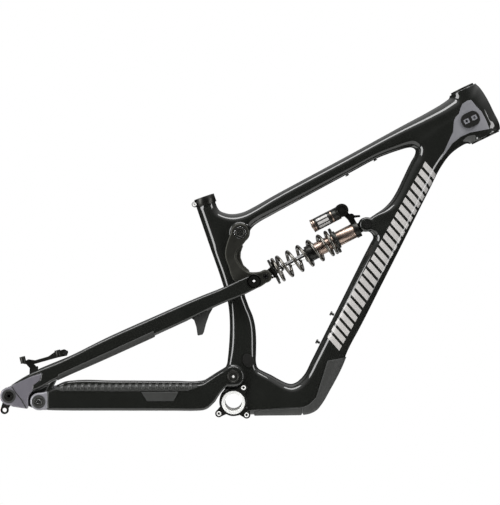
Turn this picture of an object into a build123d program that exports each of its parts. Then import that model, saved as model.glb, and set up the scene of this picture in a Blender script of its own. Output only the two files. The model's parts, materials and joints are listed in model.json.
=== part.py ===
from build123d import *
import os
from math import atan2, cos, pi, radians, sin

# Full-suspension bicycle frame with a coil shock.
# Origin: centre of the bottom bracket. +X points forward, +Y to the rider's left, +Z up. Millimetres.
# The drive side, with the chain, is the -Y side. At rest the shock is at its full length.

# ---- driving dimensions: the pivots and the axles, as (x, z) in the frame's side plane ----
MAIN_PIVOT = (0.0, 53.0)
ROCKER_PIVOT = (13.5, 342.5)
HORST_PIVOT = (-386.0, 6.0)
STAY_PIVOT = (41.6, 244.3)
SHOCK_REAR = (65.1, 254.1)
REAR_AXLE = (-445.0, 17.0)
SHOCK_LENGTH = 230.0
SHOCK_TILT = 27.2

# ---- standard interfaces ----
BB_WIDTH = 73.0
BB_BORE_R = 17.4
BB_RING_R = 23.4
ISCG_R = 36.5
ISCG_ANGLES = (55.5, 217.3, 317.4)
ISCG_LUG_R = 7.6
ISCG_BOSS_R = 4.6
ISCG_THREAD_R = 2.5
AXLE_R = 6.0
SEATPOST_R = 15.8
UPPER_CUP_R = 22.0
UPPER_BEARING_R = 20.9
LOWER_CUP_R = 28.0
LOWER_BEARING_R = 26.0
UPPER_CUP_LIP = (3.5, 24.6)
LOWER_CUP_LIP = (3.0, 30.4)
CUP_LEDGE = 2.6
CUP_SEAT = 8.5
CUP_DEPTH = 12.0
POST_MOUNT_PITCH = 74.2
BOTTLE_PITCH = 64.0
EYELET_WIDTH = 25.4

# ---- the head and seat tubes ----
HEAD_TOP = (466.0, 633.5)
HEAD_BOTTOM = (512.0, 538.0)
HEAD_TOP_R = 29.0
HEAD_BOTTOM_R = 34.0
SEAT_TOP = (-59.6, 414.0)
SEAT_SLOPE = 0.3485
SEAT_R = 18.3
SEAT_BORE_DEPTH = 210.0
CLAMP_HEIGHT = 15.0

# ---- walls, gaps and fits ----
CARBON_WALL = 3.0
RUNNING_GAP = 0.05
SIDE_GAP = 0.4
GUARD_WALL = 3.0

# ---- how wide the pivots stand, as distances from the side plane ----
FRAME_BOSS_HALF = 30.0
CHAINSTAY_BOSS = (30.5, 42.0)
ROCKER_BOSS_HALF = 23.6
ROCKER_PLATE = (24.0, 32.0)
STAY_TIP = (32.6, 44.0)
HORST_LUG = (62.0, 71.5)
HORST_BOSS = (72.0, 82.0)
DROPOUT = (74.0, 83.0)
PIVOT_PIN_R = 7.5
HORST_PIN_R = 5.0
SIGHT_HOLE_R = 3.0

os.makedirs("parts", exist_ok=True)


def shock_point(along, above=0.0):
    """A point on the shock's own axes: along from the rear eye, above its centre line."""
    a = radians(SHOCK_TILT)
    return (
        SHOCK_REAR[0] + along * cos(a) - above * sin(a),
        SHOCK_REAR[1] + along * sin(a) + above * cos(a),
    )


SHOCK_FRONT = shock_point(SHOCK_LENGTH)


def side_plane(y):
    """A plane parallel to the side plane, seen from the drive side, with X right and Z up."""
    return Plane(origin=(0, y, 0), x_dir=(1, 0, 0), z_dir=(0, -1, 0))


def slab(outline, y0, y1, radius=0.0):
    """A flat piece with the given corners, between y0 and y1, its corners rounded in plan."""
    if radius:
        edge = FilletPolyline(*outline, radius=radius, close=True)
    else:
        edge = Polyline(*outline, close=True)
    face = side_plane(y1) * make_face(edge)
    return extrude(face, amount=y1 - y0)


def disc(at, r, y0, y1):
    """A cylinder along Y at (x, z), from y0 to y1."""
    plane = Plane(origin=(at[0], y1, at[1]), x_dir=(1, 0, 0), z_dir=(0, -1, 0))
    return extrude(plane * Circle(r), amount=y1 - y0)


def ring(at, r_out, r_in, y0, y1):
    """A sleeve along Y."""
    return disc(at, r_out, y0, y1) - disc(at, r_in, y0 - 1, y1 + 1)


def both_sides(piece):
    """The piece and its mirror image on the other side of the bicycle."""
    return piece + mirror(piece, about=Plane.XZ)


def rod(start, end, r, r_end=None):
    """A round bar or cone between two points in space."""
    axis = Vector(*end) - Vector(*start)
    upright = (Align.CENTER, Align.CENTER, Align.MIN)
    if r_end is None:
        bar = Cylinder(r, axis.length, align=upright)
    else:
        bar = Cone(r, r_end, axis.length, align=upright)
    return Plane(origin=Vector(*start), z_dir=axis.normalized()) * bar


def on_side(at, y=0.0):
    """(x, z) in the side plane as a point in space."""
    return (at[0], y, at[1])


def section(station, direction, shrink):
    """A rounded-rectangle face square to the direction, at (x, y, z, depth, width)."""
    x, y, z, depth, width = station
    plane = Plane(origin=(x, y, z), x_dir=(0, 1, 0), z_dir=direction)
    d = depth - 2 * shrink
    w = width - 2 * shrink
    return plane * RectangleRounded(w, d, min(w, d) * 0.38)


def moulding(stations, shrink=0.0):
    """A moulded tube through its stations, each (x, y, z, depth, width)."""
    faces = []
    last = len(stations) - 1
    for i, station in enumerate(stations):
        a = stations[max(i - 1, 0)]
        b = stations[min(i + 1, last)]
        direction = (b[0] - a[0], 0.0, b[2] - a[2])
        faces.append(section(station, direction, shrink))
    return loft(faces, ruled=True)


def save(node, piece):
    """Write one node as a STEP file."""
    solids = [piece] if isinstance(piece, Solid) else piece.solids()
    shape = solids[0] if len(solids) == 1 else Compound(children=list(solids))
    export_step(shape, f"parts/{node}.step")


def seat_axis(z):
    """The x of the seat tube's axis at height z."""
    return SEAT_TOP[0] + (SEAT_TOP[1] - z) * SEAT_SLOPE


# ------------------------------------------------------------------ front triangle

TOP_TUBE = [
    (-20, 0, 345, 36, 38),
    (40, 0, 377, 35, 42),
    (90, 0, 403.5, 33, 44),
    (240, 0, 484.5, 33, 46),
    (320, 0, 528, 36, 48),
    (385, 0, 561, 52, 52),
    (470, 0, 600, 66, 56),
]
DOWN_TUBE = [
    (10, 0, 8, 64, 63),
    (75, 0, 12, 74, 60),
    (138, 0, 18, 64, 56),
    (184, 0, 67, 58, 54),
    (242, 0, 183.6, 57, 54),
    (330, 0, 358, 57, 54),
    (392, 0, 478, 60, 56),
    (440, 0, 545, 74, 58),
    (480, 0, 580, 78, 58),
]
MAST = [
    (9, 0, 30, 54, 60),
    (17, 0, 75, 60, 56),
    (18.5, 0, 115, 55, 48),
    (18, 0, 158, 50, 42),
    (9, 0, 200, 42, 39),
    (-3, 0, 245, 38, 37),
]
SEAT_GUSSET = [
    (-48, 398), (-26, 384), (-6, 380), (36, 390), (44, 356), (30, 336), (2, 322), (-4, 300), (-14, 262),
    (-40, 330),
]
SHOCK_GUSSET = [(310, 398), (280, 377), (258, 366), (262, 346), (288, 336), (284, 322), (330, 350)]
HEAD_FILL = [(352, 470), (366, 512), (350, 560), (462, 622), (500, 545), (440, 515)]


def head_down():
    """The direction down the steering axis."""
    return (Vector(*on_side(HEAD_BOTTOM)) - Vector(*on_side(HEAD_TOP))).normalized()


def head_tube():
    """The outside of the tapered head tube."""
    return rod(on_side(HEAD_TOP), on_side(HEAD_BOTTOM), HEAD_TOP_R, HEAD_BOTTOM_R)


def seat_tube():
    """The round upper seat tube."""
    return rod((seat_axis(235), 0, 235), on_side(SEAT_TOP), SEAT_R)


def front_outer():
    """The outside form of the moulded front triangle."""
    body = moulding(TOP_TUBE) + moulding(DOWN_TUBE) + moulding(MAST)
    body += seat_tube() + head_tube()
    body += slab(SEAT_GUSSET, -19, 19)
    body += slab(SHOCK_GUSSET, -24, 24, radius=3)
    body += slab(HEAD_FILL, -25, 25)
    body += disc(ROCKER_PIVOT, 18.7, -ROCKER_BOSS_HALF, ROCKER_BOSS_HALF)
    body += disc(SHOCK_FRONT, 14.0, -24, 24)
    body += disc(MAIN_PIVOT, 20.0, -FRAME_BOSS_HALF, FRAME_BOSS_HALF)
    body += disc((0, 0), 27.5, -32, 32)
    down = head_down()
    top = Vector(*on_side(HEAD_TOP))
    bottom = Vector(*on_side(HEAD_BOTTOM))
    body -= rod(top - down * 30, top, 60) + rod(bottom, bottom + down * 30, 45)
    return body


def front_hollows():
    """The spaces inside the tubes, and the bores."""
    hollow = moulding(TOP_TUBE[1:6], CARBON_WALL) + moulding(DOWN_TUBE[2:8], CARBON_WALL)
    return [hollow, moulding(MAST[2:5], CARBON_WALL)]


FRONT_OUTER = front_outer()


def seat_bore():
    """The seatpost's bore, open at the top."""
    low_z = SEAT_TOP[1] - SEAT_BORE_DEPTH * 0.944
    top_z = SEAT_TOP[1] + 2
    return rod((seat_axis(low_z), 0, low_z), (seat_axis(top_z), 0, top_z), SEATPOST_R)


def head_bore():
    """The steerer's way through the head tube, with the two cup seats."""
    down = head_down()
    top = Vector(*on_side(HEAD_TOP))
    bottom = Vector(*on_side(HEAD_BOTTOM))
    bore = rod((top - down * 2), (bottom + down * 2), 19.0)
    bore += rod((top - down * 2), (top + down * 14), UPPER_CUP_R)
    bore += rod((bottom - down * 14), (bottom + down * 2), LOWER_CUP_R)
    return bore


def make_front_triangle():
    """The carbon front triangle with its hollows, bores, fork for the shock and bosses."""
    body = FRONT_OUTER
    for hollow in front_hollows():
        body = body - hollow
    body -= seat_bore()
    body -= head_bore()
    body -= disc((0, 0), BB_RING_R - 1.0, -40, 40)
    body -= disc(MAIN_PIVOT, PIVOT_PIN_R, -40, 40)
    body -= disc(ROCKER_PIVOT, PIVOT_PIN_R, -40, 40)
    body -= disc(SHOCK_FRONT, 5.0, -40, 40)
    half = EYELET_WIDTH / 2 + SIDE_GAP
    slot = disc(SHOCK_FRONT, 17.0, -half, half)
    slot += slab([(240, 330), (277, 346), (262, 374), (230, 380)], -half, half)
    body -= slot
    return body


def bottle_points():
    """The two cage bolts on the down tube's rear face, as (x, z), with the face's normal."""
    first = (172.0, 120.0)
    a = atan2(0.893, 0.451)
    return [first, (first[0] + BOTTLE_PITCH * cos(a), first[1] + BOTTLE_PITCH * sin(a))]


# cable ports beside the head tube: a cover with two plugs and a screw, as length, height and corner radius
PORT_AT = (478.0, 570.5)
PORT_Y = 27.0
PORT_COVER = (38.0, 30.0, 13.0)
PORT_PLUG = (11.0, 9.5, 2.0)
PORT_PITCH = 17.0
PORT_DEPTH = 6.5
PORT_SCREW_V = 10.0
PORT_SCREW_R = 1.5
CABLE_R = 2.6


def port_plane(side):
    """The plane that a cable port is drawn on, square to the steering axis."""
    return Plane(origin=on_side(PORT_AT, side * PORT_Y), x_dir=(0.90, 0, 0.436), z_dir=(0, side, 0))


# badge on the front of the head tube
BADGE_R = 16.0
BADGE_WALL = 1.2
BADGE_ABOVE_MIDDLE = 8.0

# seat clamp: its outside radius, and the lug behind it with the bolt across
CLAMP_R = 21.2
CLAMP_LUG_R = 5.5
CLAMP_LUG_HALF = 11.0
CLAMP_BOLT_R = 2.5
CLAMP_HEAD_R = 4.2

# end caps of the pivots, as radius and height
MAIN_CAP = (12.5, 2.2)
ROCKER_CAP = (10.0, 2.0)
CAP_SOCKET_R = 3.0

NODES = {}


def cut_from_front(piece):
    """Keep only what stands outside the front triangle."""
    return piece - FRONT_OUTER


def headset_cup(mouth, out, r, seat_r, lip):
    """A cup pressed into the head tube, with a lip of the given height and radius outside it."""
    height, lip_r = lip
    cup = rod(mouth, mouth + out * height, lip_r) + rod(mouth - out * CUP_DEPTH, mouth, r)
    cup -= rod(mouth - out * CUP_SEAT, mouth + out * (height + 1), seat_r)
    return cup - rod(mouth - out * (CUP_DEPTH + 1), mouth, seat_r - CUP_LEDGE)


def build_front():
    """The front triangle and everything fixed to it."""
    tube_front = make_front_triangle()
    bolt_seats = None
    bottle = None
    normal = (-0.893, 0.451)
    for x, z in bottle_points():
        base = (x - 4 * normal[0], 0, z - 4 * normal[1])
        tip = (x + 4.5 * normal[0], 0, z + 4.5 * normal[1])
        shank = rod(base, tip, 2.5) + rod((x + 1.2 * normal[0], 0, z + 1.2 * normal[1]), tip, 4.5)
        seat = rod(base, tip, 2.5)
        bottle = shank if bottle is None else bottle + shank
        bolt_seats = seat if bolt_seats is None else bolt_seats + seat
    accessory = None
    for x in (231.0, 288.0):
        z = 460.5 + (x - 231.0) * 0.543
        under = (0.477, -0.879)
        base = (x - 5 * under[0], 0, z - 5 * under[1])
        tip = (x + 2.5 * under[0], 0, z + 2.5 * under[1])
        shank = rod(base, tip, 2.5) + rod((x + 0.3 * under[0], 0, z + 0.3 * under[1]), tip, 4.0)
        bolt_seats += rod(base, tip, 2.5)
        accessory = shank if accessory is None else accessory + shank
    tube_front -= bolt_seats
    NODES["bottle_and_tool_bolts"] = (bottle + accessory) - tube_front

    # aluminium bottom-bracket sleeve with its outer rings
    half = BB_WIDTH / 2
    shell = ring((0, 0), BB_RING_R - 1.0, BB_BORE_R, -32, 32)
    for y0, y1 in ((-half, -32), (32, half)):
        shell += ring((0, 0), BB_RING_R, BB_BORE_R, y0, y1)
    NODES["bb_shell"] = shell

    # chain-guide mount: a plate round the sleeve with three tapped bosses
    plate = disc((0, 0), 27.0, -35.5, -32)
    bosses = None
    for angle in ISCG_ANGLES:
        a = radians(angle)
        at = (ISCG_R * cos(a), ISCG_R * sin(a))
        lug = disc(at, ISCG_LUG_R, -35.5, -32)
        arm = slab(
            [
                (16 * cos(a) - 12 * sin(a), 16 * sin(a) + 12 * cos(a)),
                (at[0] - 7.5 * sin(a), at[1] + 7.5 * cos(a)),
                (at[0] + 7.5 * sin(a), at[1] - 7.5 * cos(a)),
                (16 * cos(a) + 12 * sin(a), 16 * sin(a) - 12 * cos(a)),
            ],
            -35.5,
            -32,
        )
        plate += lug + arm
        insert = ring(at, ISCG_BOSS_R, ISCG_THREAD_R, -36.5, -32)
        bosses = insert if bosses is None else bosses + insert
    plate -= disc((0, 0), BB_RING_R + 0.1, -40, -30)
    for angle in ISCG_ANGLES:
        a = radians(angle)
        plate -= disc((ISCG_R * cos(a), ISCG_R * sin(a)), ISCG_BOSS_R, -40, -30)
    NODES["iscg_plate"] = cut_from_front(plate)
    NODES["iscg_inserts"] = cut_from_front(bosses)

    # headset cups
    down = head_down()
    top = Vector(*on_side(HEAD_TOP))
    low = Vector(*on_side(HEAD_BOTTOM))
    NODES["upper_headset_cup"] = headset_cup(top, -down, UPPER_CUP_R, UPPER_BEARING_R, UPPER_CUP_LIP)
    NODES["lower_headset_cup"] = headset_cup(low, down, LOWER_CUP_R, LOWER_BEARING_R, LOWER_CUP_LIP)

    # badge on the head tube's front, and the two cable ports with their grommets and screws
    across = Vector(0.9, 0, 0.436)
    middle = (top + low) * 0.5 - down * BADGE_ABOVE_MIDDLE
    badge = rod(middle, middle + across * HEAD_BOTTOM_R, BADGE_R)
    badge &= rod(on_side(HEAD_TOP), on_side(HEAD_BOTTOM), HEAD_TOP_R + BADGE_WALL, HEAD_BOTTOM_R + BADGE_WALL)
    NODES["head_badge"] = cut_from_front(badge)

    covers = None
    for side in (-1, 1):
        plane = port_plane(side)
        plate = extrude(plane * RectangleRounded(*PORT_COVER), amount=PORT_DEPTH)
        for u in (-PORT_PITCH / 2, PORT_PITCH / 2):
            plate -= extrude(plane * Pos(u, 0) * RectangleRounded(*PORT_PLUG), amount=PORT_DEPTH + 2)
        plate -= extrude(plane * Pos(0, PORT_SCREW_V) * Circle(PORT_SCREW_R), amount=PORT_DEPTH + 2)
        covers = plate if covers is None else covers + plate
    NODES["cable_port_covers"] = cut_from_front(covers)
    grommets = None
    screws = None
    for side in (-1, 1):
        plane = port_plane(side)
        for u in (-PORT_PITCH / 2, PORT_PITCH / 2):
            plug = extrude(plane * Pos(u, 0) * RectangleRounded(*PORT_PLUG), amount=PORT_DEPTH + 0.7)
            plug -= extrude(plane * Pos(u, 0) * Circle(CABLE_R), amount=PORT_DEPTH + 2)
            grommets = plug if grommets is None else grommets + plug
        screw = extrude(plane * Pos(0, PORT_SCREW_V) * Circle(PORT_SCREW_R), amount=PORT_DEPTH)
        screws = screw if screws is None else screws + screw
    NODES["cable_port_grommets"] = cut_from_front(grommets)
    NODES["cable_port_screws"] = cut_from_front(screws)

    # rubber plug low on the mast where the lines come out
    plug = None
    for side in (-1, 1):
        plane = Plane(origin=(30, side * 20, 84), x_dir=(0.94, 0, 0.34), z_dir=(0, side, 0))
        bead = extrude(plane * Ellipse(11, 14), amount=9.5)
        plug = bead if plug is None else plug + bead
    NODES["mast_cable_grommets"] = cut_from_front(plug)

    # moulded rubber guards under the down tube and the bottom bracket
    band = [
        (252, 122), (236, 92), (190, 84), (167, 10), (152, -5), (140, -9), (140, -31.5), (164, -28), (184, -12),
        (205, 22), (222, 55),
    ]
    grown = moulding(DOWN_TUBE, -GUARD_WALL)
    NODES["downtube_guard"] = cut_from_front(slab(band, -40, 40) & grown)
    band = [(138.5, -10), (60, -14), (40, -17), (40, -31), (138.5, -31.5)]
    NODES["bb_guard"] = cut_from_front(slab(band, -40, 40) & grown)

    # seat clamp, with the bolt across its rear lug
    axis = Vector(-SEAT_SLOPE, 0, 1).normalized()
    top_at = Vector(*on_side(SEAT_TOP))
    base = top_at - axis * CLAMP_HEIGHT
    collar = rod(base, (top_at + axis * 1.5), CLAMP_R)
    lug_at = base + axis * (CLAMP_HEIGHT / 2) + Vector(-22.0, 0, -7.0)
    lug = (lug_at.X, lug_at.Z)
    half = CLAMP_LUG_HALF
    collar += disc(lug, CLAMP_LUG_R, -half, half)
    root = [(lug[0], lug[1] + CLAMP_LUG_R), (-73, 411), (-62, 400), (lug[0] + 2, lug[1] - CLAMP_LUG_R)]
    collar += slab(root, -half, half)
    collar -= rod((base - axis * 4), (top_at + axis * 0.01), SEAT_R)
    collar -= rod((base - axis * 4), (top_at + axis * 12), SEATPOST_R + 0.2)
    collar -= slab([(-100, 430), (-72, 432), (-72, 380), (-100, 380)], -1.2, 1.2)
    collar -= disc(lug, CLAMP_BOLT_R, -20, 20)
    NODES["seat_clamp"] = collar - tube_front
    bolt = disc(lug, CLAMP_BOLT_R, -half, half + 1)
    bolt += ring(lug, CLAMP_HEAD_R, 2.0, -half - 4, -half) + disc(lug, CLAMP_HEAD_R, -half - 1.5, -half)
    NODES["seat_clamp_bolt"] = bolt

    # the main and rocker pivot axles, fixed in the frame, with their end caps
    reach = CHAINSTAY_BOSS[1] + SIDE_GAP
    NODES["main_pivot_axle"] = ring(MAIN_PIVOT, PIVOT_PIN_R, SIGHT_HOLE_R, -reach, reach)
    caps = both_sides(ring(MAIN_PIVOT, MAIN_CAP[0], SIGHT_HOLE_R, reach, reach + MAIN_CAP[1]))
    reach = ROCKER_PLATE[1] + SIDE_GAP
    NODES["rocker_pivot_axle"] = disc(ROCKER_PIVOT, PIVOT_PIN_R, -reach, reach)
    cap = disc(ROCKER_PIVOT, ROCKER_CAP[0], reach, reach + ROCKER_CAP[1])
    cap -= disc(ROCKER_PIVOT, CAP_SOCKET_R, reach + 0.5, reach + 3)
    NODES["pivot_end_caps"] = caps + both_sides(cap)
    bolt = disc(SHOCK_FRONT, 5.0, -26, 26)
    bolt += both_sides(disc(SHOCK_FRONT, 8.0, 24, 26.2) - disc(SHOCK_FRONT, 3.0, 24.6, 27))
    NODES["shock_mount_bolt"] = bolt
    NODES["front_triangle"] = tube_front


# ------------------------------------------------------------------ chainstay

STAY_RUN = [
    (-64, 43.5, 11.5, 52, 15),
    (-120, 50, 11.5, 52, 16),
    (-250, 63, 11.5, 51, 17),
    (-352, 75, 10.5, 46, 16),
]
STAY_RISE = [(2, 33), (-25, 21), (-44, -12), (-70, -14.5), (-70, 37.5), (-50, 46), (-18, 66), (2, 73.5)]


def build_chainstay():
    """The chainstay assembly, its guards and its bearings."""
    run = moulding(STAY_RUN)
    rise = slab(STAY_RISE, CHAINSTAY_BOSS[0] + 3, CHAINSTAY_BOSS[1] + 3.5, radius=1.0)
    boss = disc(MAIN_PIVOT, 20.5, *CHAINSTAY_BOSS)
    keep = disc(MAIN_PIVOT, 24.0, CHAINSTAY_BOSS[1], 60) + disc(MAIN_PIVOT, 24.0, 20, CHAINSTAY_BOSS[0])
    rear = slab([(-348, 32.5), (-348, -12), (-386, -11), (-386, 23)], *HORST_BOSS)
    rear += disc(HORST_PIVOT, 17.0, *HORST_BOSS)
    side = run + (rise - keep) + boss + rear
    # room for the seatstay's lug inside the boss
    side -= disc(HORST_PIVOT, 19.5, 55, HORST_BOSS[0])
    hollow = moulding(STAY_RUN[:3], CARBON_WALL)
    side -= hollow
    side -= disc(MAIN_PIVOT, 14.0, 0, 60)
    side -= disc(HORST_PIVOT, 10.0, 50, 100)
    body = both_sides(side)
    # yoke that ties the two sides in front of the tyre
    yoke = slab([(-61, 2), (-39, 4), (-33, 40), (-58, 36)], -40, 40, radius=4)
    body += yoke
    NODES["chainstay"] = body

    guard = None
    for k in range(19):
        x = -340 + k * 13.4
        y = 75 + (x + 352) * (50 - 75) / (352 - 120)
        rib = Pos(x, y, 38.2) * Box(7.5, 18.5, 5.5)
        guard = rib if guard is None else guard + rib
    base = moulding([(-352, 76, 34.6, 3.2, 14.5), (-120, 50, 38.4, 3.2, 14.5), (-84, 46, 38.4, 3.2, 13.5)])
    NODES["chainstay_guard"] = mirror(guard + base, about=Plane.XZ) - body
    pad = slab([(-182, 21), (-112, 21), (-121, 5), (-170, 5)], -70, -57, radius=2)
    plate = (pad & offset_run(1.0)) - body
    NODES["chainsuck_plate"] = plate.solids().sort_by(SortBy.VOLUME)[-1]

    NODES["main_pivot_bearings"] = both_sides(
        ring(MAIN_PIVOT, 14.0, PIVOT_PIN_R + RUNNING_GAP, CHAINSTAY_BOSS[0] + 0.5, CHAINSTAY_BOSS[1] - 0.5)
    )
    NODES["horst_bearings"] = both_sides(
        ring(HORST_PIVOT, 10.0, HORST_PIN_R + RUNNING_GAP, HORST_BOSS[0] + 0.5, HORST_BOSS[1] - 0.5)
    )


def offset_run(extra):
    """The drive-side stay's run, a little thicker all round."""
    return mirror(moulding(STAY_RUN, -extra), about=Plane.XZ)


# ------------------------------------------------------------------ seatstay

SEATSTAY_RUN = [
    (-408, 76, 42, 34, 13),
    (-345, 70, 68.5, 31, 14),
    (-165, 51, 150.5, 34, 14),
    (-66, 41, 195, 36, 13),
    (-10, 38.3, 220, 32, 11.4),
    (41.6, 38.3, 243, 28, 11.4),
]
GUARD_RUN = [(-337.7, 69.3, 52.6, 3, 11), (-160.1, 50.4, 131.9, 3, 11)]
DROPOUT_OUTLINE = [
    (-449, 35), (-408, 61), (-372, 74), (-360, 48), (-376, 34), (-410, 28), (-407, -9), (-441, -4),
]
LUG_OUTLINE = [(-422, 40), (-372, 62), (-366, 30), (-376, 0), (-400, -8), (-424, 4)]
FIN = [
    (-88, 172), (-44, 194), (-43, 187), (-50, 175), (-57, 155), (-61.5, 137), (-72, 134.5), (-74.5, 152),
    (-79, 166),
]
HANGER_HOLE = (-454.5, -11.0)
HANGER_Y = (-78.0, -74.0)


def hanger_form():
    """The outside of the replaceable hanger, let into the drive-side dropout."""
    arm = slab([(-457, 10), (-440, 2), (-447, -8), (-463, -11), (-459, 2)], *HANGER_Y)
    return arm + disc(HANGER_HOLE, 8.2, *HANGER_Y) + disc(REAR_AXLE, 12.5, *HANGER_Y)


def build_seatstay():
    """The seatstay assembly with its dropouts, guards, pivots and brake mount."""
    run = moulding(SEATSTAY_RUN)
    side = run + disc(STAY_PIVOT, 15.0, *STAY_TIP)
    side += slab(DROPOUT_OUTLINE, *DROPOUT) + disc(REAR_AXLE, 17.5, *DROPOUT)
    side -= disc(HORST_PIVOT, 18.5, HORST_BOSS[0] - SIDE_GAP, 100)
    side -= disc(HORST_PIVOT, 24.0, 40, HORST_LUG[0])
    lug = slab(LUG_OUTLINE, *HORST_LUG) + disc(HORST_PIVOT, 17.0, *HORST_LUG)
    side += lug
    side -= slab([(-20, 190), (70, 190), (70, 290), (-20, 290)], 0, STAY_TIP[0])
    side -= moulding(SEATSTAY_RUN[1:4], CARBON_WALL)
    side -= disc(STAY_PIVOT, 8.0, 0, 60)
    side -= disc(HORST_PIVOT, HORST_PIN_R, 50, 100)
    side -= disc(REAR_AXLE, 10.0, 60, 100)
    body = both_sides(side)
    # arched bridge between the stays, behind the seat tube
    body -= hanger_form()
    bridge = slab([(-118, 178), (-110, 163), (-96, 167), (-84, 182), (-98, 188)], -42, 42, radius=3)
    body += bridge
    NODES["seatstay"] = body

    fin = slab(FIN, 30, 34, radius=2.5) - body
    NODES["stay_fins"] = both_sides(fin)
    NODES["seatstay_guard"] = mirror(moulding(GUARD_RUN), about=Plane.XZ)

    # alloy inserts in the dropouts, with the hanger clamped on the drive side
    NODES["dropout_insert"] = ring(REAR_AXLE, 10.0, AXLE_R + RUNNING_GAP, DROPOUT[0], DROPOUT[1])
    axle_way = disc(REAR_AXLE, AXLE_R + RUNNING_GAP, -90, -60)
    NODES["derailleur_hanger"] = hanger_form() - axle_way - disc(HANGER_HOLE, 4.25, -90, -60)
    NODES["hanger_bolt"] = disc(REAR_AXLE, 9.6, -DROPOUT[1] - 1.2, HANGER_Y[0]) - axle_way

    cap = ring(STAY_PIVOT, 14.2, SIGHT_HOLE_R, STAY_TIP[1], STAY_TIP[1] + 1.6)
    cap += ring(STAY_PIVOT, 8.0, SIGHT_HOLE_R, STAY_TIP[0] + 0.2, STAY_TIP[1])
    NODES["stay_pivot_bolts"] = both_sides(cap)
    bolt = disc(HORST_PIVOT, HORST_PIN_R, HORST_LUG[0], HORST_BOSS[1] + SIDE_GAP)
    bolt += disc(HORST_PIVOT, 9.0, HORST_BOSS[1] + SIDE_GAP, HORST_BOSS[1] + 2.2)
    bolt -= disc(HORST_PIVOT, 3.0, HORST_BOSS[1] - 2, 100)
    NODES["horst_bolts"] = both_sides(bolt)
    NODES["horst_nuts"] = both_sides(disc(HORST_PIVOT, 8.0, HORST_LUG[0] - 3.0, HORST_LUG[0]))

    # post mount for the brake, an arched bracket bolted on the left stay
    lean = radians(14)
    up = (-sin(lean), cos(lean))
    run_dir = (cos(radians(10.5)), sin(radians(10.5)))
    rear_post = (-440.3, 85.7)
    front_post = (rear_post[0] + POST_MOUNT_PITCH * run_dir[0], rear_post[1] + POST_MOUNT_PITCH * run_dir[1])
    y0, y1 = 70.0, 79.0
    arch = slab(
        [(-442, 72), (-431, 70), (-421, 59), (-409, 63), (-416, 70), (-384, 79), (-366, 84), (-347, 88),
         (-345, 97), (-353, 101), (-372, 96), (-386, 86), (-414, 78), (-428, 80)],
        y0,
        y1,
    )
    foot = slab([(-425, 44), (-405, 52), (-408, 66), (-424, 62)], y0, y1)
    arch += foot
    for post in (rear_post, front_post):
        base = (post[0] - 14 * up[0], 74.5, post[1] - 14 * up[1])
        arch += rod(base, (post[0], 74.5, post[1]), 6.0)
    for post in (rear_post, front_post):
        base = (post[0] - 12 * up[0], 74.5, post[1] - 12 * up[1])
        arch -= rod(base, (post[0] + up[0], 74.5, post[1] + up[1]), 2.5)
    arch -= disc((-350, 94), 2.5, 60, 90)
    NODES["brake_mount"] = arch - body
    post_bolts = disc((-350, 94), 2.5, y0 - 4, y1 + 1) + disc((-350, 94), 4.6, y1, y1 + 3)
    post_bolts += disc((-350, 94), 4.0, y0 - 4, y0)
    NODES["brake_mount_bolts"] = post_bolts - NODES["brake_mount"]


# ------------------------------------------------------------------ rear axle

def build_axle():
    """The hollow through-axle, drawn out to the left."""
    axle = ring(REAR_AXLE, AXLE_R, 3.6, -DROPOUT[1] - 1.0, DROPOUT[1] + 0.5)
    head = disc(REAR_AXLE, 9.5, DROPOUT[1] + 0.5, DROPOUT[1] + 4.5) - disc(REAR_AXLE, 3.6, 0, 200)
    NODES["rear_axle"] = axle + head


# ------------------------------------------------------------------ rocker link

ROCKER_OUTLINE = [
    (31, 346), (29, 334), (17, 316), (6, 303), (4, 294), (7, 286), (15, 274), (27, 264), (46, 262), (68, 267),
    (79, 254), (66, 241), (52, 232), (36, 229), (14, 236), (2, 244), (-10.5, 275), (-16.3, 292), (-16.3, 308),
    (-10.7, 329), (-4, 345),
]
ROCKER_WEB = [
    (20, 317), (15, 303), (14.5, 292), (20, 277), (32, 266), (44, 261), (34, 255), (20, 264), (7, 282),
    (3.2, 294), (3.6, 302), (8, 314),
]


def build_rocker():
    """The rocker link with its bearings, cross axle and shock screws."""
    plate = slab(ROCKER_OUTLINE, *ROCKER_PLATE) + disc(ROCKER_PIVOT, 18.7, *ROCKER_PLATE)
    plate += disc(STAY_PIVOT, 14.5, *ROCKER_PLATE) + disc(SHOCK_REAR, 13.0, *ROCKER_PLATE)
    inner = EYELET_WIDTH / 2 + SIDE_GAP
    plate += disc(SHOCK_REAR, 11.5, inner, ROCKER_PLATE[0])
    plate -= disc(ROCKER_PIVOT, 12.0, 0, 60)
    plate -= disc(STAY_PIVOT, 11.0, 0, 60)
    plate -= disc(SHOCK_REAR, 5.0, 0, 60)
    body = both_sides(plate)
    web = slab(ROCKER_WEB, -25, 25) - disc(ROCKER_PIVOT, 20.5, -30, 30) - disc(SHOCK_REAR, 14.5, -30, 30)
    web -= disc(STAY_PIVOT, 7.0, -30, 30)
    body += web
    NODES["rocker_link"] = body
    NODES["rocker_pivot_bearings"] = both_sides(
        ring(ROCKER_PIVOT, 12.0, PIVOT_PIN_R + RUNNING_GAP, ROCKER_PLATE[0] + 0.4, ROCKER_PLATE[1] - 0.4)
    )
    NODES["stay_pivot_bearings"] = both_sides(ring(STAY_PIVOT, 11.0, 6.0, ROCKER_PLATE[0], ROCKER_PLATE[1]))
    NODES["rocker_cross_axle"] = ring(STAY_PIVOT, 6.0, SIGHT_HOLE_R, -ROCKER_PLATE[1], ROCKER_PLATE[1])
    screw = disc(SHOCK_REAR, 5.0, inner, ROCKER_PLATE[1] + 0.5)
    screw -= disc(SHOCK_REAR, 2.5, ROCKER_PLATE[1] - 4, 60)
    NODES["rear_shock_screws"] = both_sides(screw)


# ------------------------------------------------------------------ shock

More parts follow.
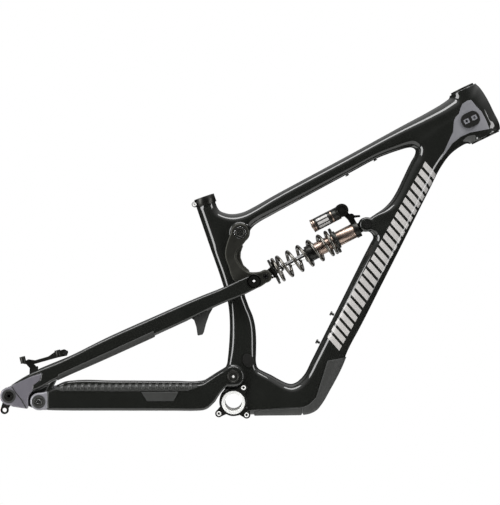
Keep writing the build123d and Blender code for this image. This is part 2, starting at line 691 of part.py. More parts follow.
def along(s0, s1, r, above=0.0, r_end=None):
    """A round piece on the shock's centre line, or above it."""
    return rod(on_side(shock_point(s0, above)), on_side(shock_point(s1, above)), r, r_end)


def block(corners, y0, y1, radius=0.0):
    """A slab given by corners on the shock's own axes."""
    return slab([shock_point(*c) for c in corners], y0, y1, radius)


SEAT_S = 22.0
COLLAR_S = 156.0
SEAL_S = 88.5
BODY_S = (116.0, 203.0)
SHAFT_R = 6.5
SPRING_R = 24.2
WIRE_R = 3.1
COILS = 7
RETAINER_HALF = 23.4


def spring():
    """The coil spring: a round wire wound on the shock's axis."""
    length = COLLAR_S - SEAT_S - 2 * WIRE_R - 0.6
    helix = Helix(pitch=length / COILS, height=length, radius=SPRING_R)
    start = helix @ 0
    wire_face = Plane(origin=start, z_dir=helix % 0) * Circle(WIRE_R)
    coil = sweep(wire_face, path=helix, is_frenet=True)
    axis = Vector(cos(radians(SHOCK_TILT)), 0, sin(radians(SHOCK_TILT)))
    base = shock_point(SEAT_S + WIRE_R + 0.3)
    return Plane(origin=on_side(base), x_dir=(0, 1, 0), z_dir=axis) * coil


def build_shock():
    """The coil shock: body side, shaft side and spring."""
    half = EYELET_WIDTH / 2
    body = along(BODY_S[0], BODY_S[1], 15.0) - along(BODY_S[0] - 1, BODY_S[1] - 3, 12.6)
    thread = None
    for k in range(14):
        s = BODY_S[0] + 1.5 + k * 3.0
        groove = along(s, s + 1.2, 16.0) - along(s - 0.5, s + 1.7, 14.4)
        thread = groove if thread is None else thread + groove
    NODES["shock_body"] = body - thread
    seal = along(SEAL_S, SEAL_S + 7, 13.0) + along(SEAL_S + 7, BODY_S[0], 17.0)
    NODES["seal_head"] = seal - along(SEAL_S - 1, BODY_S[0] + 1, SHAFT_R + RUNNING_GAP)
    head = along(BODY_S[1], 213, 17.0) + disc(SHOCK_FRONT, 11.0, -half, half)
    head += block([(212, -10), (230, -10), (230, 10), (212, 10)], -half, half)
    head += block([(203, 15), (204, 8), (214, 8), (214, 26), (206, 42), (196, 42), (202, 26)], -9, 9)
    head += disc(shock_point(198.8, 48.3), 13.5, -12, 12)
    head += along(185, 192, 13.0, 46.7)
    head -= disc(SHOCK_FRONT, 7.5, -30, 30)
    head += disc(shock_point(209.8, 27.5), 7.0, -9, 9)
    head -= disc(shock_point(198.8, 48.3), 9.0, -20, -10)
    head -= disc(shock_point(198.8, 48.3), 9.0, 10, 20)
    NODES["shock_head"] = head
    NODES["reservoir_tube"] = along(133.5, 185, 13.0, 46.7) - along(133.5, 183, 11.4, 46.7)
    cap = along(131, 133.5, 13.6, 46.7) + along(133.5, 137, 11.4, 46.7)
    cap += along(129.6, 131, 4.0, 46.7)
    NODES["reservoir_cap"] = cap
    NODES["reservoir_floating_piston"] = along(150, 158, 11.3, 46.7)
    collar = along(COLLAR_S, COLLAR_S + 5, 27.2) + along(COLLAR_S + 5, COLLAR_S + 9, 18.5)
    notches = None
    for k in range(8):
        a = 2 * pi * k / 8
        plane = Plane(
            origin=on_side(shock_point(COLLAR_S - 1)),
            x_dir=(0, 1, 0),
            z_dir=(cos(radians(SHOCK_TILT)), 0, sin(radians(SHOCK_TILT))),
        )
        cut = plane * Pos(27.5 * cos(a), 27.5 * sin(a), 4) * Cylinder(2.6, 8)
        notches = cut if notches is None else notches + cut
    NODES["preload_collar"] = collar - along(COLLAR_S - 1, COLLAR_S + 12, 15.0 + RUNNING_GAP) - notches
    pin = ring(SHOCK_FRONT, 7.5, 5.0 + RUNNING_GAP, -half, half)
    NODES["front_eyelet_bush"] = pin

    valve = shock_point(209.8, 27.5)
    dial = disc(valve, 4.2, -14.5, -12.2) + disc(valve, 1.6, -15.2, -14.5)
    NODES["compression_knob"] = dial
    lever = disc(valve, 6.6, -12.0, -9.3) + block([(210, 31), (209, 25), (226, 19), (227, 23)], -12.0, -9.8)
    NODES["climb_lever"] = lever
    housing = shock_point(198.8, 48.3)
    NODES["high_speed_dial"] = disc(housing, 8.9, 10.2, 13.5)

    eye = disc(SHOCK_REAR, 11.0, -half, half) - disc(SHOCK_REAR, 7.5, -30, 30)
    neck = block([(6, -9), (17, -12), (17, 12), (6, 9)], -11, 11) - disc(SHOCK_REAR, 8.0, -30, 30)
    neck -= block([(9, -13), (14, -13), (14, -4), (9, -4)], -20, 20)
    NODES["lower_eyelet"] = eye + neck
    NODES["rear_eyelet_bush"] = disc(SHOCK_REAR, 7.5, -half, half)
    knob = disc(shock_point(11.5, -8.5), 2.3, -12.5, 12.5)
    NODES["rebound_knob"] = knob
    seat = along(17, SEAT_S, 27.0) + along(SEAT_S, SEAT_S + 1.2, 20.5)
    seat -= along(16, SEAT_S + 3, 12.0)
    seat -= both_sides(block([(10, -30), (30, -30), (30, 30), (10, 30)], RETAINER_HALF, 40))
    NODES["spring_retainer"] = seat
    bump = along(17, 23.2, 12.0) - along(16, 25, SHAFT_R)
    NODES["bump_stop"] = bump
    shaft = along(17, 126, SHAFT_R)
    shaft += along(119, 129, 12.5)
    NODES["shock_shaft"] = shaft
    NODES["coil_spring"] = spring()


build_front()
build_chainstay()
build_seatstay()
build_axle()
build_rocker()
build_shock()
for node, piece in NODES.items():
    save(node, piece)
print(len(NODES), "nodes written")
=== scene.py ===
"""The looks of a full-suspension bicycle frame in moulded carbon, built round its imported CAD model.

Lengths are in millimetres in the frame's own axes, and turn to metres where a mesh is made.
+X points forward, +Y to the rider's left and +Z up, with the origin at the bottom bracket.
"""

import json
import logging
import math
from dataclasses import dataclass, field
from enum import Enum

import bmesh
import bpy
import numpy as np
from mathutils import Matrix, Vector


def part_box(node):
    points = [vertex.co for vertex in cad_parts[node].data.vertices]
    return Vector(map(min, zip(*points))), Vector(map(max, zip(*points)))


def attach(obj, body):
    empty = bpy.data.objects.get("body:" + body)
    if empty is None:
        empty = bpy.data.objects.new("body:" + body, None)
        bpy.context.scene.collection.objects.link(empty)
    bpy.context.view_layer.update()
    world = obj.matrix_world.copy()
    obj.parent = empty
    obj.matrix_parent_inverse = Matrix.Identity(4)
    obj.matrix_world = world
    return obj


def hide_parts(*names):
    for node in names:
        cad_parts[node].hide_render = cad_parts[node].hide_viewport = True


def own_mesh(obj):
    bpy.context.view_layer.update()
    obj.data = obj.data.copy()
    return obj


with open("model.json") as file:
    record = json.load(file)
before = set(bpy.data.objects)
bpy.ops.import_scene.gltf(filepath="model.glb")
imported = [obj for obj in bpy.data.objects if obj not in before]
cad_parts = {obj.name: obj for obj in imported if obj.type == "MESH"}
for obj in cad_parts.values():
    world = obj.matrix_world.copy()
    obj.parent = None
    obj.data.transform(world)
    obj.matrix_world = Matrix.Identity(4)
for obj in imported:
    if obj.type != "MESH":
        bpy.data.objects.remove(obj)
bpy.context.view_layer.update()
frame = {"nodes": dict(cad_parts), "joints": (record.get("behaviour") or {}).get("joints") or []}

MM = 0.001
LOG = logging.getLogger("bicycle_frame")

Point = tuple[float, float]
Outline = list[Point]


# ---------------------------------------------------------------- places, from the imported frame


def joint_place(name: str) -> Point:
    """Where a joint's axis crosses the side plane.

    Args:
        name: the joint's name in the record.

    Returns:
        (x, z) in millimetres.
    """
    found = next(j for j in frame["joints"] if j["name"] == name)
    return found["pos_m"][0] / MM, found["pos_m"][2] / MM


def node_middle(name: str) -> Vector:
    """The middle of a CAD node's box.

    Args:
        name: the node's name.

    Returns:
        The point, in millimetres.
    """
    low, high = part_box(name)
    return (low + high) / (2 * MM)


MAIN_PIVOT = joint_place("main_pivot")
HORST_PIVOT = joint_place("horst_pivot")
ROCKER_PIVOT = joint_place("rocker_pivot")
SHOCK_FRONT = joint_place("shock_pivot")
SHOCK_AXIS = next(j for j in frame["joints"] if j["name"] == "shock_stroke")["axis"]
STAY_PIVOT = (node_middle("rocker_cross_axle").x, node_middle("rocker_cross_axle").z)
SHOCK_REAR = (node_middle("rear_eyelet_bush").x, node_middle("rear_eyelet_bush").z)
REAR_AXLE = (node_middle("rear_axle").x, node_middle("rear_axle").z)
HEAD_TOP = (466.0, 633.5)
HEAD_BOTTOM = (512.0, 538.0)
SEAT_TOP = (-59.6, 414.0)


def shock_point(along: float, above: float = 0.0) -> Point:
    """A point on the shock's own axes.

    Args:
        along: distance from the rear eye towards the front one.
        above: distance above the shock's centre line.

    Returns:
        (x, z) in millimetres.
    """
    ax, az = SHOCK_AXIS[0], SHOCK_AXIS[2]
    return SHOCK_REAR[0] + along * ax - above * az, SHOCK_REAR[1] + along * az + above * ax


# ---------------------------------------------------------------- finishes


def linear(code: str) -> tuple[float, float, float, float]:
    """Turn an sRGB hex colour to linear light.

    Args:
        code: six hex digits, with or without the leading hash.

    Returns:
        Red, green, blue and alpha.
    """
    code = code.lstrip("#")
    parts = [int(code[i : i + 2], 16) / 255 for i in (0, 2, 4)]
    light = [c / 12.92 if c <= 0.04045 else ((c + 0.055) / 1.055) ** 2.4 for c in parts]
    return light[0], light[1], light[2], 1.0


def add_node(
    tree: bpy.types.NodeTree,
    kind: str,
    settings: dict[str, object] | None = None,
    inputs: dict[str | int, object] | None = None,
) -> bpy.types.Node:
    """Add one node with its settings and links.

    Args:
        tree: the node tree.
        kind: the node's type name.
        settings: attributes of the node.
        inputs: for each input, a value, or an output socket to link.

    Returns:
        The new node.
    """
    node = tree.nodes.new(kind)
    for name, value in (settings or {}).items():
        setattr(node, name, value)
    for name, value in (inputs or {}).items():
        if isinstance(value, bpy.types.NodeSocket):
            tree.links.new(value, node.inputs[name])
        else:
            node.inputs[name].default_value = value
    return node


# a ring texture of scale 1 repeats at this many metres
RING_SPACING = 0.314


class Grain(Enum):
    """How a surface was made, which gives its fine relief."""

    PEEL = "sprayed clear coat, with a faint orange peel"
    MOULDED = "moulded in a spark-eroded tool, with an even fine grain"
    TURNED = "turned on a lathe, with fine rings about the Y axis"
    BLASTED = "bead blasted before anodising"
    POLISHED = "ground and polished"


@dataclass(frozen=True)
class Finish:
    """One real material and how its surface was made."""

    name: str
    colour: str
    roughness: float
    grain: Grain
    grain_mm: float
    relief_mm: float
    metallic: float = 0.0
    ior: float = 1.5
    coat: float = 0.0
    coat_roughness: float = 0.03
    mottle: float = 0.12
    mottle_mm: float = 40.0

    def relief(self, tree: bpy.types.NodeTree, place: bpy.types.NodeSocket) -> bpy.types.NodeSocket:
        """The height of the fine grain.

        Args:
            tree: the material's nodes.
            place: the coordinates to use, in metres.

        Returns:
            The socket that carries the height.
        """
        if self.grain is Grain.TURNED:
            wave = add_node(
                tree,
                "ShaderNodeTexWave",
                {"wave_type": "RINGS", "rings_direction": "Y"},
                {"Vector": place, "Scale": RING_SPACING / (self.grain_mm * MM), "Distortion": 0.4},
            )
            return wave.outputs["Fac"]
        detail = 1.0 if self.grain in (Grain.PEEL, Grain.POLISHED) else 4.0
        noise = add_node(
            tree,
            "ShaderNodeTexNoise",
            None,
            {"Vector": place, "Scale": 1 / (self.grain_mm * MM), "Detail": detail},
        )
        return noise.outputs["Fac"]

    def make(self) -> bpy.types.Material:
        """The Blender material, made once and then shared.

        Returns:
            The material.
        """
        known = bpy.data.materials.get(self.name)
        if known:
            return known
        material = bpy.data.materials.new(self.name)
        material.use_nodes = True
        tree = material.node_tree
        tree.nodes.clear()
        place = add_node(tree, "ShaderNodeTexCoord").outputs["Object"]
        cloud = add_node(
            tree,
            "ShaderNodeTexNoise",
            None,
            {"Vector": place, "Scale": 1 / (self.mottle_mm * MM), "Detail": 3.0},
        ).outputs["Fac"]
        base = linear(self.colour)
        dark = tuple(c * (1 - self.mottle) for c in base[:3]) + (1.0,)
        light = tuple(min(1.0, c * (1 + self.mottle)) for c in base[:3]) + (1.0,)
        tint = add_node(
            tree, "ShaderNodeMix", {"data_type": "RGBA"}, {"Factor": cloud, "A": dark, "B": light},
        )
        wear = add_node(
            tree,
            "ShaderNodeMapRange",
            None,
            {
                "Value": cloud,
                "From Min": 0.3,
                "From Max": 0.7,
                "To Min": self.roughness * 0.88,
                "To Max": min(1.0, self.roughness * 1.12),
            },
        )
        bump = add_node(
            tree,
            "ShaderNodeBump",
            None,
            {"Height": self.relief(tree, place), "Distance": self.relief_mm * MM, "Strength": 1.0},
        )
        shader = add_node(
            tree,
            "ShaderNodeBsdfPrincipled",
            None,
            {
                "Base Color": tint.outputs["Result"],
                "Roughness": wear.outputs["Result"],
                "Metallic": self.metallic,
                "Coat Weight": self.coat,
                "Coat Roughness": self.coat_roughness,
                "Normal": bump.outputs["Normal"],
            },
        )
        if not self.metallic:
            shader.inputs["IOR"].default_value = self.ior
        add_node(tree, "ShaderNodeOutputMaterial", None, {"Surface": shader.outputs["BSDF"]})
        return material


# Prepreg carbon under a polished clear coat of nearly the same index: black, with mirror-sharp highlights.
CARBON = Finish(
    "clear_coated_carbon", "#131412", 0.5, Grain.PEEL, 6.0, 0.004, ior=1.12, coat=1.0, coat_roughness=0.02
)
# Grey satin paint under the same clear coat, for the panel beside the head tube, whose pointed tail also
# paints a highlight along the down tube.
PANEL_PAINT = Finish(
    "satin_grey_paint", "#606064", 0.5, Grain.PEEL, 5.0, 0.004, coat=0.6, coat_roughness=0.15
)
# Pale vinyl lettering film: flat, even and slightly warm.
DECAL_FILM = Finish("pale_vinyl_film", "#979593", 0.5, Grain.PEEL, 5.0, 0.003, coat=0.4, coat_roughness=0.1)
# Violet-grey enamel on the dropout, softer in gloss than the carbon.
DROPOUT_ENAMEL = Finish("violet_grey_enamel", "#525056", 0.42, Grain.PEEL, 5.0, 0.004, coat=0.5)
# Pale grey enamel round the rear pivots, a little glossy.
PIVOT_ENAMEL = Finish("pale_grey_enamel", "#646368", 0.4, Grain.PEEL, 5.0, 0.004, coat=0.5)
# Forged aluminium, bead blasted and anodised black: an even dark sheen without sharp reflections.
BLACK_ANODISED = Finish("black_anodised_aluminium", "#30302e", 0.4, Grain.BLASTED, 0.9, 0.012, metallic=1.0)
# Aluminium anodised dark grey, for the link's flat faces.
GREY_ANODISED = Finish(
    "dark_grey_anodised_aluminium", "#393935", 0.5, Grain.BLASTED, 0.9, 0.012, metallic=1.0
)
# Aluminium fresh from the lathe: bright, with fine tool rings.
MACHINED = Finish(
    "machined_aluminium", "#e6e6e4", 0.46, Grain.TURNED, 0.7, 0.006, metallic=0.6, mottle=0.04
)
# Aluminium anodised bronze over a turned surface: a warm metal with a soft sheen.
BRONZE = Finish(
    "bronze_anodised_aluminium", "#98867b", 0.3, Grain.BLASTED, 1.2, 0.004, metallic=1.0, mottle=0.08
)
# Natural rubber compound, moulded: matt, with a fine even grain; also the dark ring that paints the shade of
# the groove round the Horst bolt heads.
RUBBER = Finish("moulded_black_rubber", "#161715", 0.66, Grain.MOULDED, 0.8, 0.03)
# Steel with black oxide: dark, oily sheen.
BLACK_STEEL = Finish("black_oxide_steel", "#4a4a49", 0.34, Grain.TURNED, 0.7, 0.004, metallic=1.0)
# Bearing steel, ground bright.
BEARING_STEEL = Finish("ground_bearing_steel", "#b9babb", 0.22, Grain.TURNED, 0.6, 0.003, metallic=1.0)
# Hard chrome on the shaft: a mirror.
CHROME = Finish("hard_chrome", "#d9dadb", 0.06, Grain.POLISHED, 3.0, 0.001, metallic=1.0, mottle=0.02)
# Spring steel under gloss grey-black lacquer.
LACQUER = Finish("grey_black_lacquer", "#45423b", 0.26, Grain.PEEL, 2.5, 0.006, metallic=0.85, coat=1.0)
# Ribbed rubber, a little paler than the rest.
RIB_RUBBER = Finish("ribbed_grey_rubber", "#20211f", 0.42, Grain.MOULDED, 0.8, 0.02)
# Gloss black nylon of the small covers, also used for the dark discs that paint the shade in the pivot
# sockets.
GLOSS_NYLON = Finish("gloss_black_nylon", "#161615", 0.3, Grain.POLISHED, 3.0, 0.002, ior=1.45)
# Pale vinyl sheet, matt and even.
FLOOR = Finish("matt_vinyl_floor", "#f0f0ee", 0.8, Grain.MOULDED, 3.0, 0.05, mottle=0.02)


# ---------------------------------------------------------------- mesh tools


def link(name: str, mesh: bpy.types.Mesh, finish: Finish) -> bpy.types.Object:
    """Put a mesh in the scene as a named object with its finish.

    Args:
        name: the piece's name.
        mesh: its mesh.
        finish: what it is made of.

    Returns:
        The object.
    """
    piece = bpy.data.objects.new(name, mesh)
    bpy.context.scene.collection.objects.link(piece)
    mesh.materials.append(finish.make())
    return piece


def solid(
    name: str, points: np.ndarray, faces: list, finish: Finish, angle: float = 32.0
) -> bpy.types.Object:
    """Make a piece from points and faces, smooth but for its sharp edges.

    Args:
        name: the piece's name.
        points: corners in millimetres, one row each.
        faces: corner numbers of each face.
        finish: what the piece is made of.
        angle: edges that turn more than this, in degrees, stay sharp.

    Returns:
        The object.
    """
    mesh = bpy.data.meshes.new(name)
    mesh.from_pydata((np.asarray(points, float) * MM).tolist(), [], [list(f) for f in faces])
    mesh.validate()
    mesh.shade_smooth()
    mesh.set_sharp_from_angle(angle=math.radians(angle))
    return link(name, mesh, finish)


def flowing(points: Outline, per_span: int = 6, closed: bool = False) -> np.ndarray:
    """A smooth curve through points, by cubic spans with tangents from their neighbours.

    Args:
        points: the points that it passes through.
        per_span: how many steps each span is cut into.
        closed: whether the last point joins the first.

    Returns:
        One row for each point on the curve.
    """
    p = np.asarray(points, float)
    if closed:
        p = np.vstack([p[-2:], p, p[:3]])
    t = np.concatenate([[0], np.cumsum(np.linalg.norm(np.diff(p[:, :2], axis=0), axis=1))])
    slope = np.gradient(p, t, axis=0)
    rows = []
    for i in range(len(p) - 1):
        h = t[i + 1] - t[i]
        u = (np.arange(per_span) / per_span)[:, None]
        rows.append(
            (2 * u**3 - 3 * u**2 + 1) * p[i]
            + (u**3 - 2 * u**2 + u) * h * slope[i]
            + (3 * u**2 - 2 * u**3) * p[i + 1]
            + (u**3 - u**2) * h * slope[i + 1]
        )
    if closed:
        return np.vstack(rows[2:-2])
    return np.vstack(rows + [p[-1:]])


def joined(*runs: np.ndarray | Outline) -> np.ndarray:
    """Join curves end to end into one outline, with a corner at each meeting.

    Args:
        runs: the curves in order.

    Returns:
        The outline's points.
    """
    return np.vstack([np.asarray(r, float)[:, :2] for r in runs])


def arc(middle: Point, radius: float, start: float, end: float, steps: int = 16) -> np.ndarray:
    """Points on a round stretch.

    Args:
        middle: its centre.
        radius: its radius.
        start: the first angle in degrees, from +X towards +Z.
        end: the last angle.
        steps: how many parts it is cut into.

    Returns:
        One row for each point.
    """
    a = np.radians(np.linspace(start, end, steps + 1))
    return np.column_stack([middle[0] + radius * np.cos(a), middle[1] + radius * np.sin(a)])


@dataclass
class Plan:
    """A grid over the side plane, for fields such as the distance to an outline."""

    low: Point
    high: Point
    step: float

    def __post_init__(self) -> None:
        """Lay out the grid."""
        self.x = np.arange(self.low[0], self.high[0] + self.step, self.step)
        self.z = np.arange(self.low[1], self.high[1] + self.step, self.step)
        self.grid_x, self.grid_z = np.meshgrid(self.x, self.z, indexing="ij")

    def inside(self, outline: np.ndarray) -> np.ndarray:
        """The distance to a closed outline, negative inside it.

        Args:
            outline: its corners.

        Returns:
            The field.
        """
        nearest = np.full(self.grid_x.shape, 1e9)
        within = np.zeros(self.grid_x.shape, bool)
        for (ax, az), (bx, bz) in zip(outline, np.roll(outline, -1, axis=0)):
            ex, ez = bx - ax, bz - az
            length = ex * ex + ez * ez
            if length < 1e-12:
                continue
            px, pz = self.grid_x - ax, self.grid_z - az
            share = np.clip((px * ex + pz * ez) / length, 0, 1)
            nearest = np.minimum(nearest, (px - share * ex) ** 2 + (pz - share * ez) ** 2)
            if ez:
                crosses = (az > self.grid_z) != (bz > self.grid_z)
                within ^= crosses & (self.grid_x < ax + ex * (self.grid_z - az) / ez)
        distance = np.sqrt(nearest)
        return np.where(within, -distance, distance)

    def disc(self, middle: Point, radius: float) -> np.ndarray:
        """The distance to a circle, negative inside it."""
        return np.hypot(self.grid_x - middle[0], self.grid_z - middle[1]) - radius

    def along(self, stations: list[tuple[float, ...]]) -> tuple[np.ndarray, list[np.ndarray]]:
        """The distance to a line of stations, and each further value of the nearest place on it.

        Args:
            stations: rows of x, z and any further values, from one end to the other.

        Returns:
            The distance, and one field for each further value.
        """
        line = flowing(stations, 8)
        nearest = np.full(self.grid_x.shape, 1e18)
        values = [np.zeros(self.grid_x.shape) for _ in range(line.shape[1] - 2)]
        for a, b in zip(line[:-1], line[1:]):
            ex, ez = b[0] - a[0], b[1] - a[1]
            px, pz = self.grid_x - a[0], self.grid_z - a[1]
            share = np.clip((px * ex + pz * ez) / max(ex * ex + ez * ez, 1e-12), 0, 1)
            gap = (px - share * ex) ** 2 + (pz - share * ez) ** 2
            closer = gap < nearest
            nearest = np.where(closer, gap, nearest)
            for k, value in enumerate(values):
                value[closer] = (a[k + 2] + share * (b[k + 2] - a[k + 2]))[closer]
        return np.sqrt(nearest), values

    def blended(self, tubes: list[list[tuple[float, ...]]], reach: float = 7.0) -> list[np.ndarray]:
        """Blend the values of several tubes, each strongest within its own depth.

        Args:
            tubes: for each tube, stations of x, z, half depth and further values.
            reach: how quickly one tube gives way to the next.

        Returns:
            The half depth and the further values, as fields.
        """
        total, sums = None, None
        for stations in tubes:
            gap, values = self.along(stations)
            weight = np.exp(-np.clip((gap - values[0]) / reach, -30, 30))
            parts = [weight * v for v in values]
            total = weight if total is None else total + weight
            sums = parts if sums is None else [s + p for s, p in zip(sums, parts)]
        return [s / total for s in sums]

    def value(self, plane: np.ndarray, x: np.ndarray, z: np.ndarray) -> np.ndarray:
        """Read a field at any points, between its grid points.

        Args:
            plane: the field.
            x: the points' x.
            z: the points' z.

        Returns:
            The field's values there.
        """
        u = np.clip((x - self.low[0]) / self.step, 0, plane.shape[0] - 1.001)
        v = np.clip((z - self.low[1]) / self.step, 0, plane.shape[1] - 1.001)
        i, j = u.astype(int), v.astype(int)
        fu, fv = u - i, v - j
        near = plane[i, j] * (1 - fv) + plane[i, j + 1] * fv
        far = plane[i + 1, j] * (1 - fv) + plane[i + 1, j + 1] * fv
        return near * (1 - fu) + far * fu


def softened(plane: np.ndarray, passes: int = 2) -> np.ndarray:
    """Round off the creases of a field.

    Args:
        plane: the field.
        passes: how many times each point is averaged with its neighbours.

    Returns:
        The softer field.
    """
    for _ in range(passes):
        for axis in (0, 1):
            before, after = np.roll(plane, 1, axis), np.roll(plane, -1, axis)
            mean = (before + 2 * plane + after) / 4
            keep = [slice(1, -1) if a == axis else slice(None) for a in (0, 1)]
            fresh = plane.copy()
            fresh[tuple(keep)] = mean[tuple(keep)]
            plane = fresh
    return plane


def melt(a: np.ndarray, b: np.ndarray, reach: float) -> np.ndarray:
    """The union of two forms, with a fillet where they meet.

    Args:
        a: distance to the first form.
        b: distance to the second form.
        reach: the fillet's size.

    Returns:
        Distance to the union.
    """
    share = np.maximum(reach - np.abs(a - b), 0) / reach
    return np.minimum(a, b) - share * share * reach / 4


def cut(form: np.ndarray, tool: np.ndarray) -> np.ndarray:
    """The form without the tool's space."""
    return np.maximum(form, -tool)


def inflated(
    plan: np.ndarray, top: np.ndarray | float, edge: np.ndarray | float, side: np.ndarray
) -> np.ndarray:
    """Give a silhouette its thickness, with rounded edges.

    Args:
        plan: distance to the silhouette, negative inside.
        top: the half thickness at each place.
        edge: the edge radius at each place.
        side: distance across from the middle layer, for each cell.

    Returns:
        Distance to the form in space.
    """
    top = np.broadcast_to(top, plan.shape)[:, None, :]
    edge = np.broadcast_to(edge, plan.shape)[:, None, :]
    inward = plan[:, None, :] + edge
    outward = side - top + edge
    corner = np.hypot(np.maximum(inward, 0), np.maximum(outward, 0))
    return corner + np.minimum(np.maximum(inward, outward), 0) - edge


def layer(plan: np.ndarray, side: np.ndarray, low: float, high: float, edge: float) -> np.ndarray:
    """A flat piece between two distances from the side plane.

    Args:
        plan: distance to its outline.
        side: distance across, for each cell.
        low: its inner face.
        high: its outer face.
        edge: its edge radius.

    Returns:
        Distance to the piece in space.
    """
    return inflated(plan, (high - low) / 2, edge, np.abs(side - (low + high) / 2))


def shell(
    name: str, form: np.ndarray, low: tuple[float, float, float], step: float, finish: Finish
) -> bpy.types.Object:
    """Mesh the surface of a form, with one corner in each cell that it crosses.

    Args:
        name: the piece's name.
        form: distance to the surface at each grid point, negative inside.
        low: the first grid point.
        step: the grid's step.
        finish: what the piece is made of.

    Returns:
        The object, with its normals taken from the form itself.
    """
    within = form < 0
    shape = np.array(form.shape) - 1
    corners = [np.array(((c >> 2) & 1, (c >> 1) & 1, c & 1)) for c in range(8)]

    def window(corner: np.ndarray) -> tuple[slice, ...]:
        """The grid points that are this corner of each cell."""
        return tuple(slice(int(c), int(c + n)) for c, n in zip(corner, shape))

    count = sum(within[window(c)].astype(np.int8) for c in corners)
    crossed = (count > 0) & (count < 8)
    cells = np.argwhere(crossed)
    number = np.full(tuple(shape), -1, np.int64)
    number[crossed] = np.arange(len(cells))

    total, hits = np.zeros((len(cells), 3)), np.zeros(len(cells))
    for a in corners:
        for axis in range(3):
            if a[axis]:
                continue
            b = a.copy()
            b[axis] = 1
            fa, fb = form[tuple((cells + a).T)], form[tuple((cells + b).T)]
            through = (fa < 0) != (fb < 0)
            share = np.where(through, fa / np.where(through, fa - fb, 1), 0)
            place = a + share[:, None] * (b - a)
            total += place * through[:, None]
            hits += through
    points = cells + total / hits[:, None]

    def read(at: np.ndarray) -> np.ndarray:
        """The form's distance at any points, in grid steps."""
        at = np.clip(at, 0, np.array(form.shape) - 1.001)
        i = at.astype(int)
        f = at - i
        result = np.zeros(len(at))
        for c in corners:
            weight = np.prod(np.where(c == 1, f, 1 - f), axis=1)
            result += weight * form[tuple((i + c).T)]
        return result

    def slope(at: np.ndarray) -> np.ndarray:
        """The direction in which the distance grows, at any points."""
        rise = [read(at + e) - read(at - e) for e in np.eye(3) * 0.75]
        return np.column_stack(rise) / 1.5

    for _ in range(2):
        rise = slope(points)
        steep = np.maximum((rise**2).sum(1), 1e-6)
        move = -(read(points) / steep)[:, None] * rise
        points += np.clip(move, -0.35, 0.35)
    normal = slope(points)
    normal /= np.maximum(np.linalg.norm(normal, axis=1), 1e-9)[:, None]

    faces = []
    for axis in range(3):
        u, v = (axis + 1) % 3, (axis + 2) % 3
        first = within[tuple(slice(None, -1) if d == axis else slice(1, -1) for d in range(3))]
        second = within[tuple(slice(1, None) if d == axis else slice(1, -1) for d in range(3))]
        eu, ev = np.eye(3, dtype=int)[u], np.eye(3, dtype=int)[v]
        for forward in (True, False):
            p = np.argwhere(first & ~second if forward else ~first & second)
            if not len(p):
                continue
            p = p + eu + ev
            ring = [p - eu - ev, p - ev, p, p - eu]
            ring = [number[tuple(r.T)] for r in (ring if forward else ring[::-1])]
            faces.append(np.column_stack(ring))
    quads = np.vstack(faces)

    mesh = bpy.data.meshes.new(name)
    mesh.from_pydata(((points * step + np.array(low)) * MM).tolist(), [], quads.tolist())
    mesh.shade_smooth()
    mesh.normals_split_custom_set_from_vertices(normal.tolist())
    return link(name, mesh, finish)


def turned(
    name: str,
    profile: list[tuple[float, float]],
    start: tuple[float, float, float],
    axis: tuple[float, float, float],
    finish: Finish,
    ease: float = 0.5,
    sides: int = 48,
) -> bpy.types.Object:
    """A piece turned on a lathe.

    Args:
        name: the piece's name.
        profile: corners of its section as (along, radius), closed on itself.
        start: where along is zero, in millimetres.
        axis: the direction of along.
        finish: what it is made of.
        ease: the size of the small chamfer at each corner.
        sides: how many flats stand for the round.

    Returns:
        The object.
    """
    p = np.asarray(profile, float)
    rows = []
    for before, here, after in zip(np.roll(p, 1, axis=0), p, np.roll(p, -1, axis=0)):
        if here[1] < 1e-6:
            rows.append(here)
            continue
        for other in (before, after):
            away = other - here
            length = np.linalg.norm(away)
            rows.append(here + away / length * min(ease, length * 0.4))
    rows = np.array(rows)
    direction = Vector(axis).normalized()
    helper = Vector((0, 0, 1)) if abs(direction.z) < 0.9 else Vector((1, 0, 0))
    across = direction.cross(helper).normalized()
    third = np.array(direction.cross(across))
    across = np.array(across)
    angle = 2 * np.pi * np.arange(sides) / sides
    points, index = [], {}
    for r, (along, radius) in enumerate(rows):
        middle = np.array(start) + along * np.array(direction)
        if radius < 1e-6:
            index[r] = [len(points)] * sides
            points.append(middle)
            continue
        index[r] = list(range(len(points), len(points) + sides))
        for a in angle:
            points.append(middle + radius * (math.cos(a) * across + math.sin(a) * third))
    faces = []
    for r in range(len(rows)):
        here, ahead = index[r], index[(r + 1) % len(rows)]
        if rows[r][1] < 1e-6 and rows[(r + 1) % len(rows)][1] < 1e-6:
            continue
        for k in range(sides):
            j = (k + 1) % sides
            face = []
            for corner in (here[k], here[j], ahead[j], ahead[k]):
                if corner not in face:
                    face.append(corner)
            faces.append(face)
    piece = solid(name, np.array(points), faces, finish)
    turn_outward(piece)
    return piece


def turn_outward(piece: bpy.types.Object) -> None:
    """Make a closed piece's faces look outward.

    Args:
        piece: the piece.
    """
    work = bmesh.new()
    work.from_mesh(piece.data)
    bmesh.ops.recalc_face_normals(work, faces=work.faces)
    work.to_mesh(piece.data)
    work.free()


def carried(node: str, finish: Finish, ease: float = 0.0) -> bpy.types.Object:
    """Dress a CAD node that is shown as it is.

    Args:
        node: the node's name.
        finish: what it is made of.
        ease: the width of the small bevel on its edges, or 0 for none.

    Returns:
        The node's object.
    """
    piece = frame["nodes"][node]
    piece.data.materials.clear()
    piece.data.materials.append(finish.make())
    if ease:
        weld = piece.modifiers.new("weld", "WELD")
        weld.merge_threshold = 0.005 * MM
        bevel = piece.modifiers.new("bevel", "BEVEL")
        bevel.width = ease * MM
        bevel.segments = 2
        bevel.limit_method = "ANGLE"
        bevel.angle_limit = math.radians(35)
        bevel.harden_normals = True
    return piece


# ---------------------------------------------------------------- what the sub-assemblies share


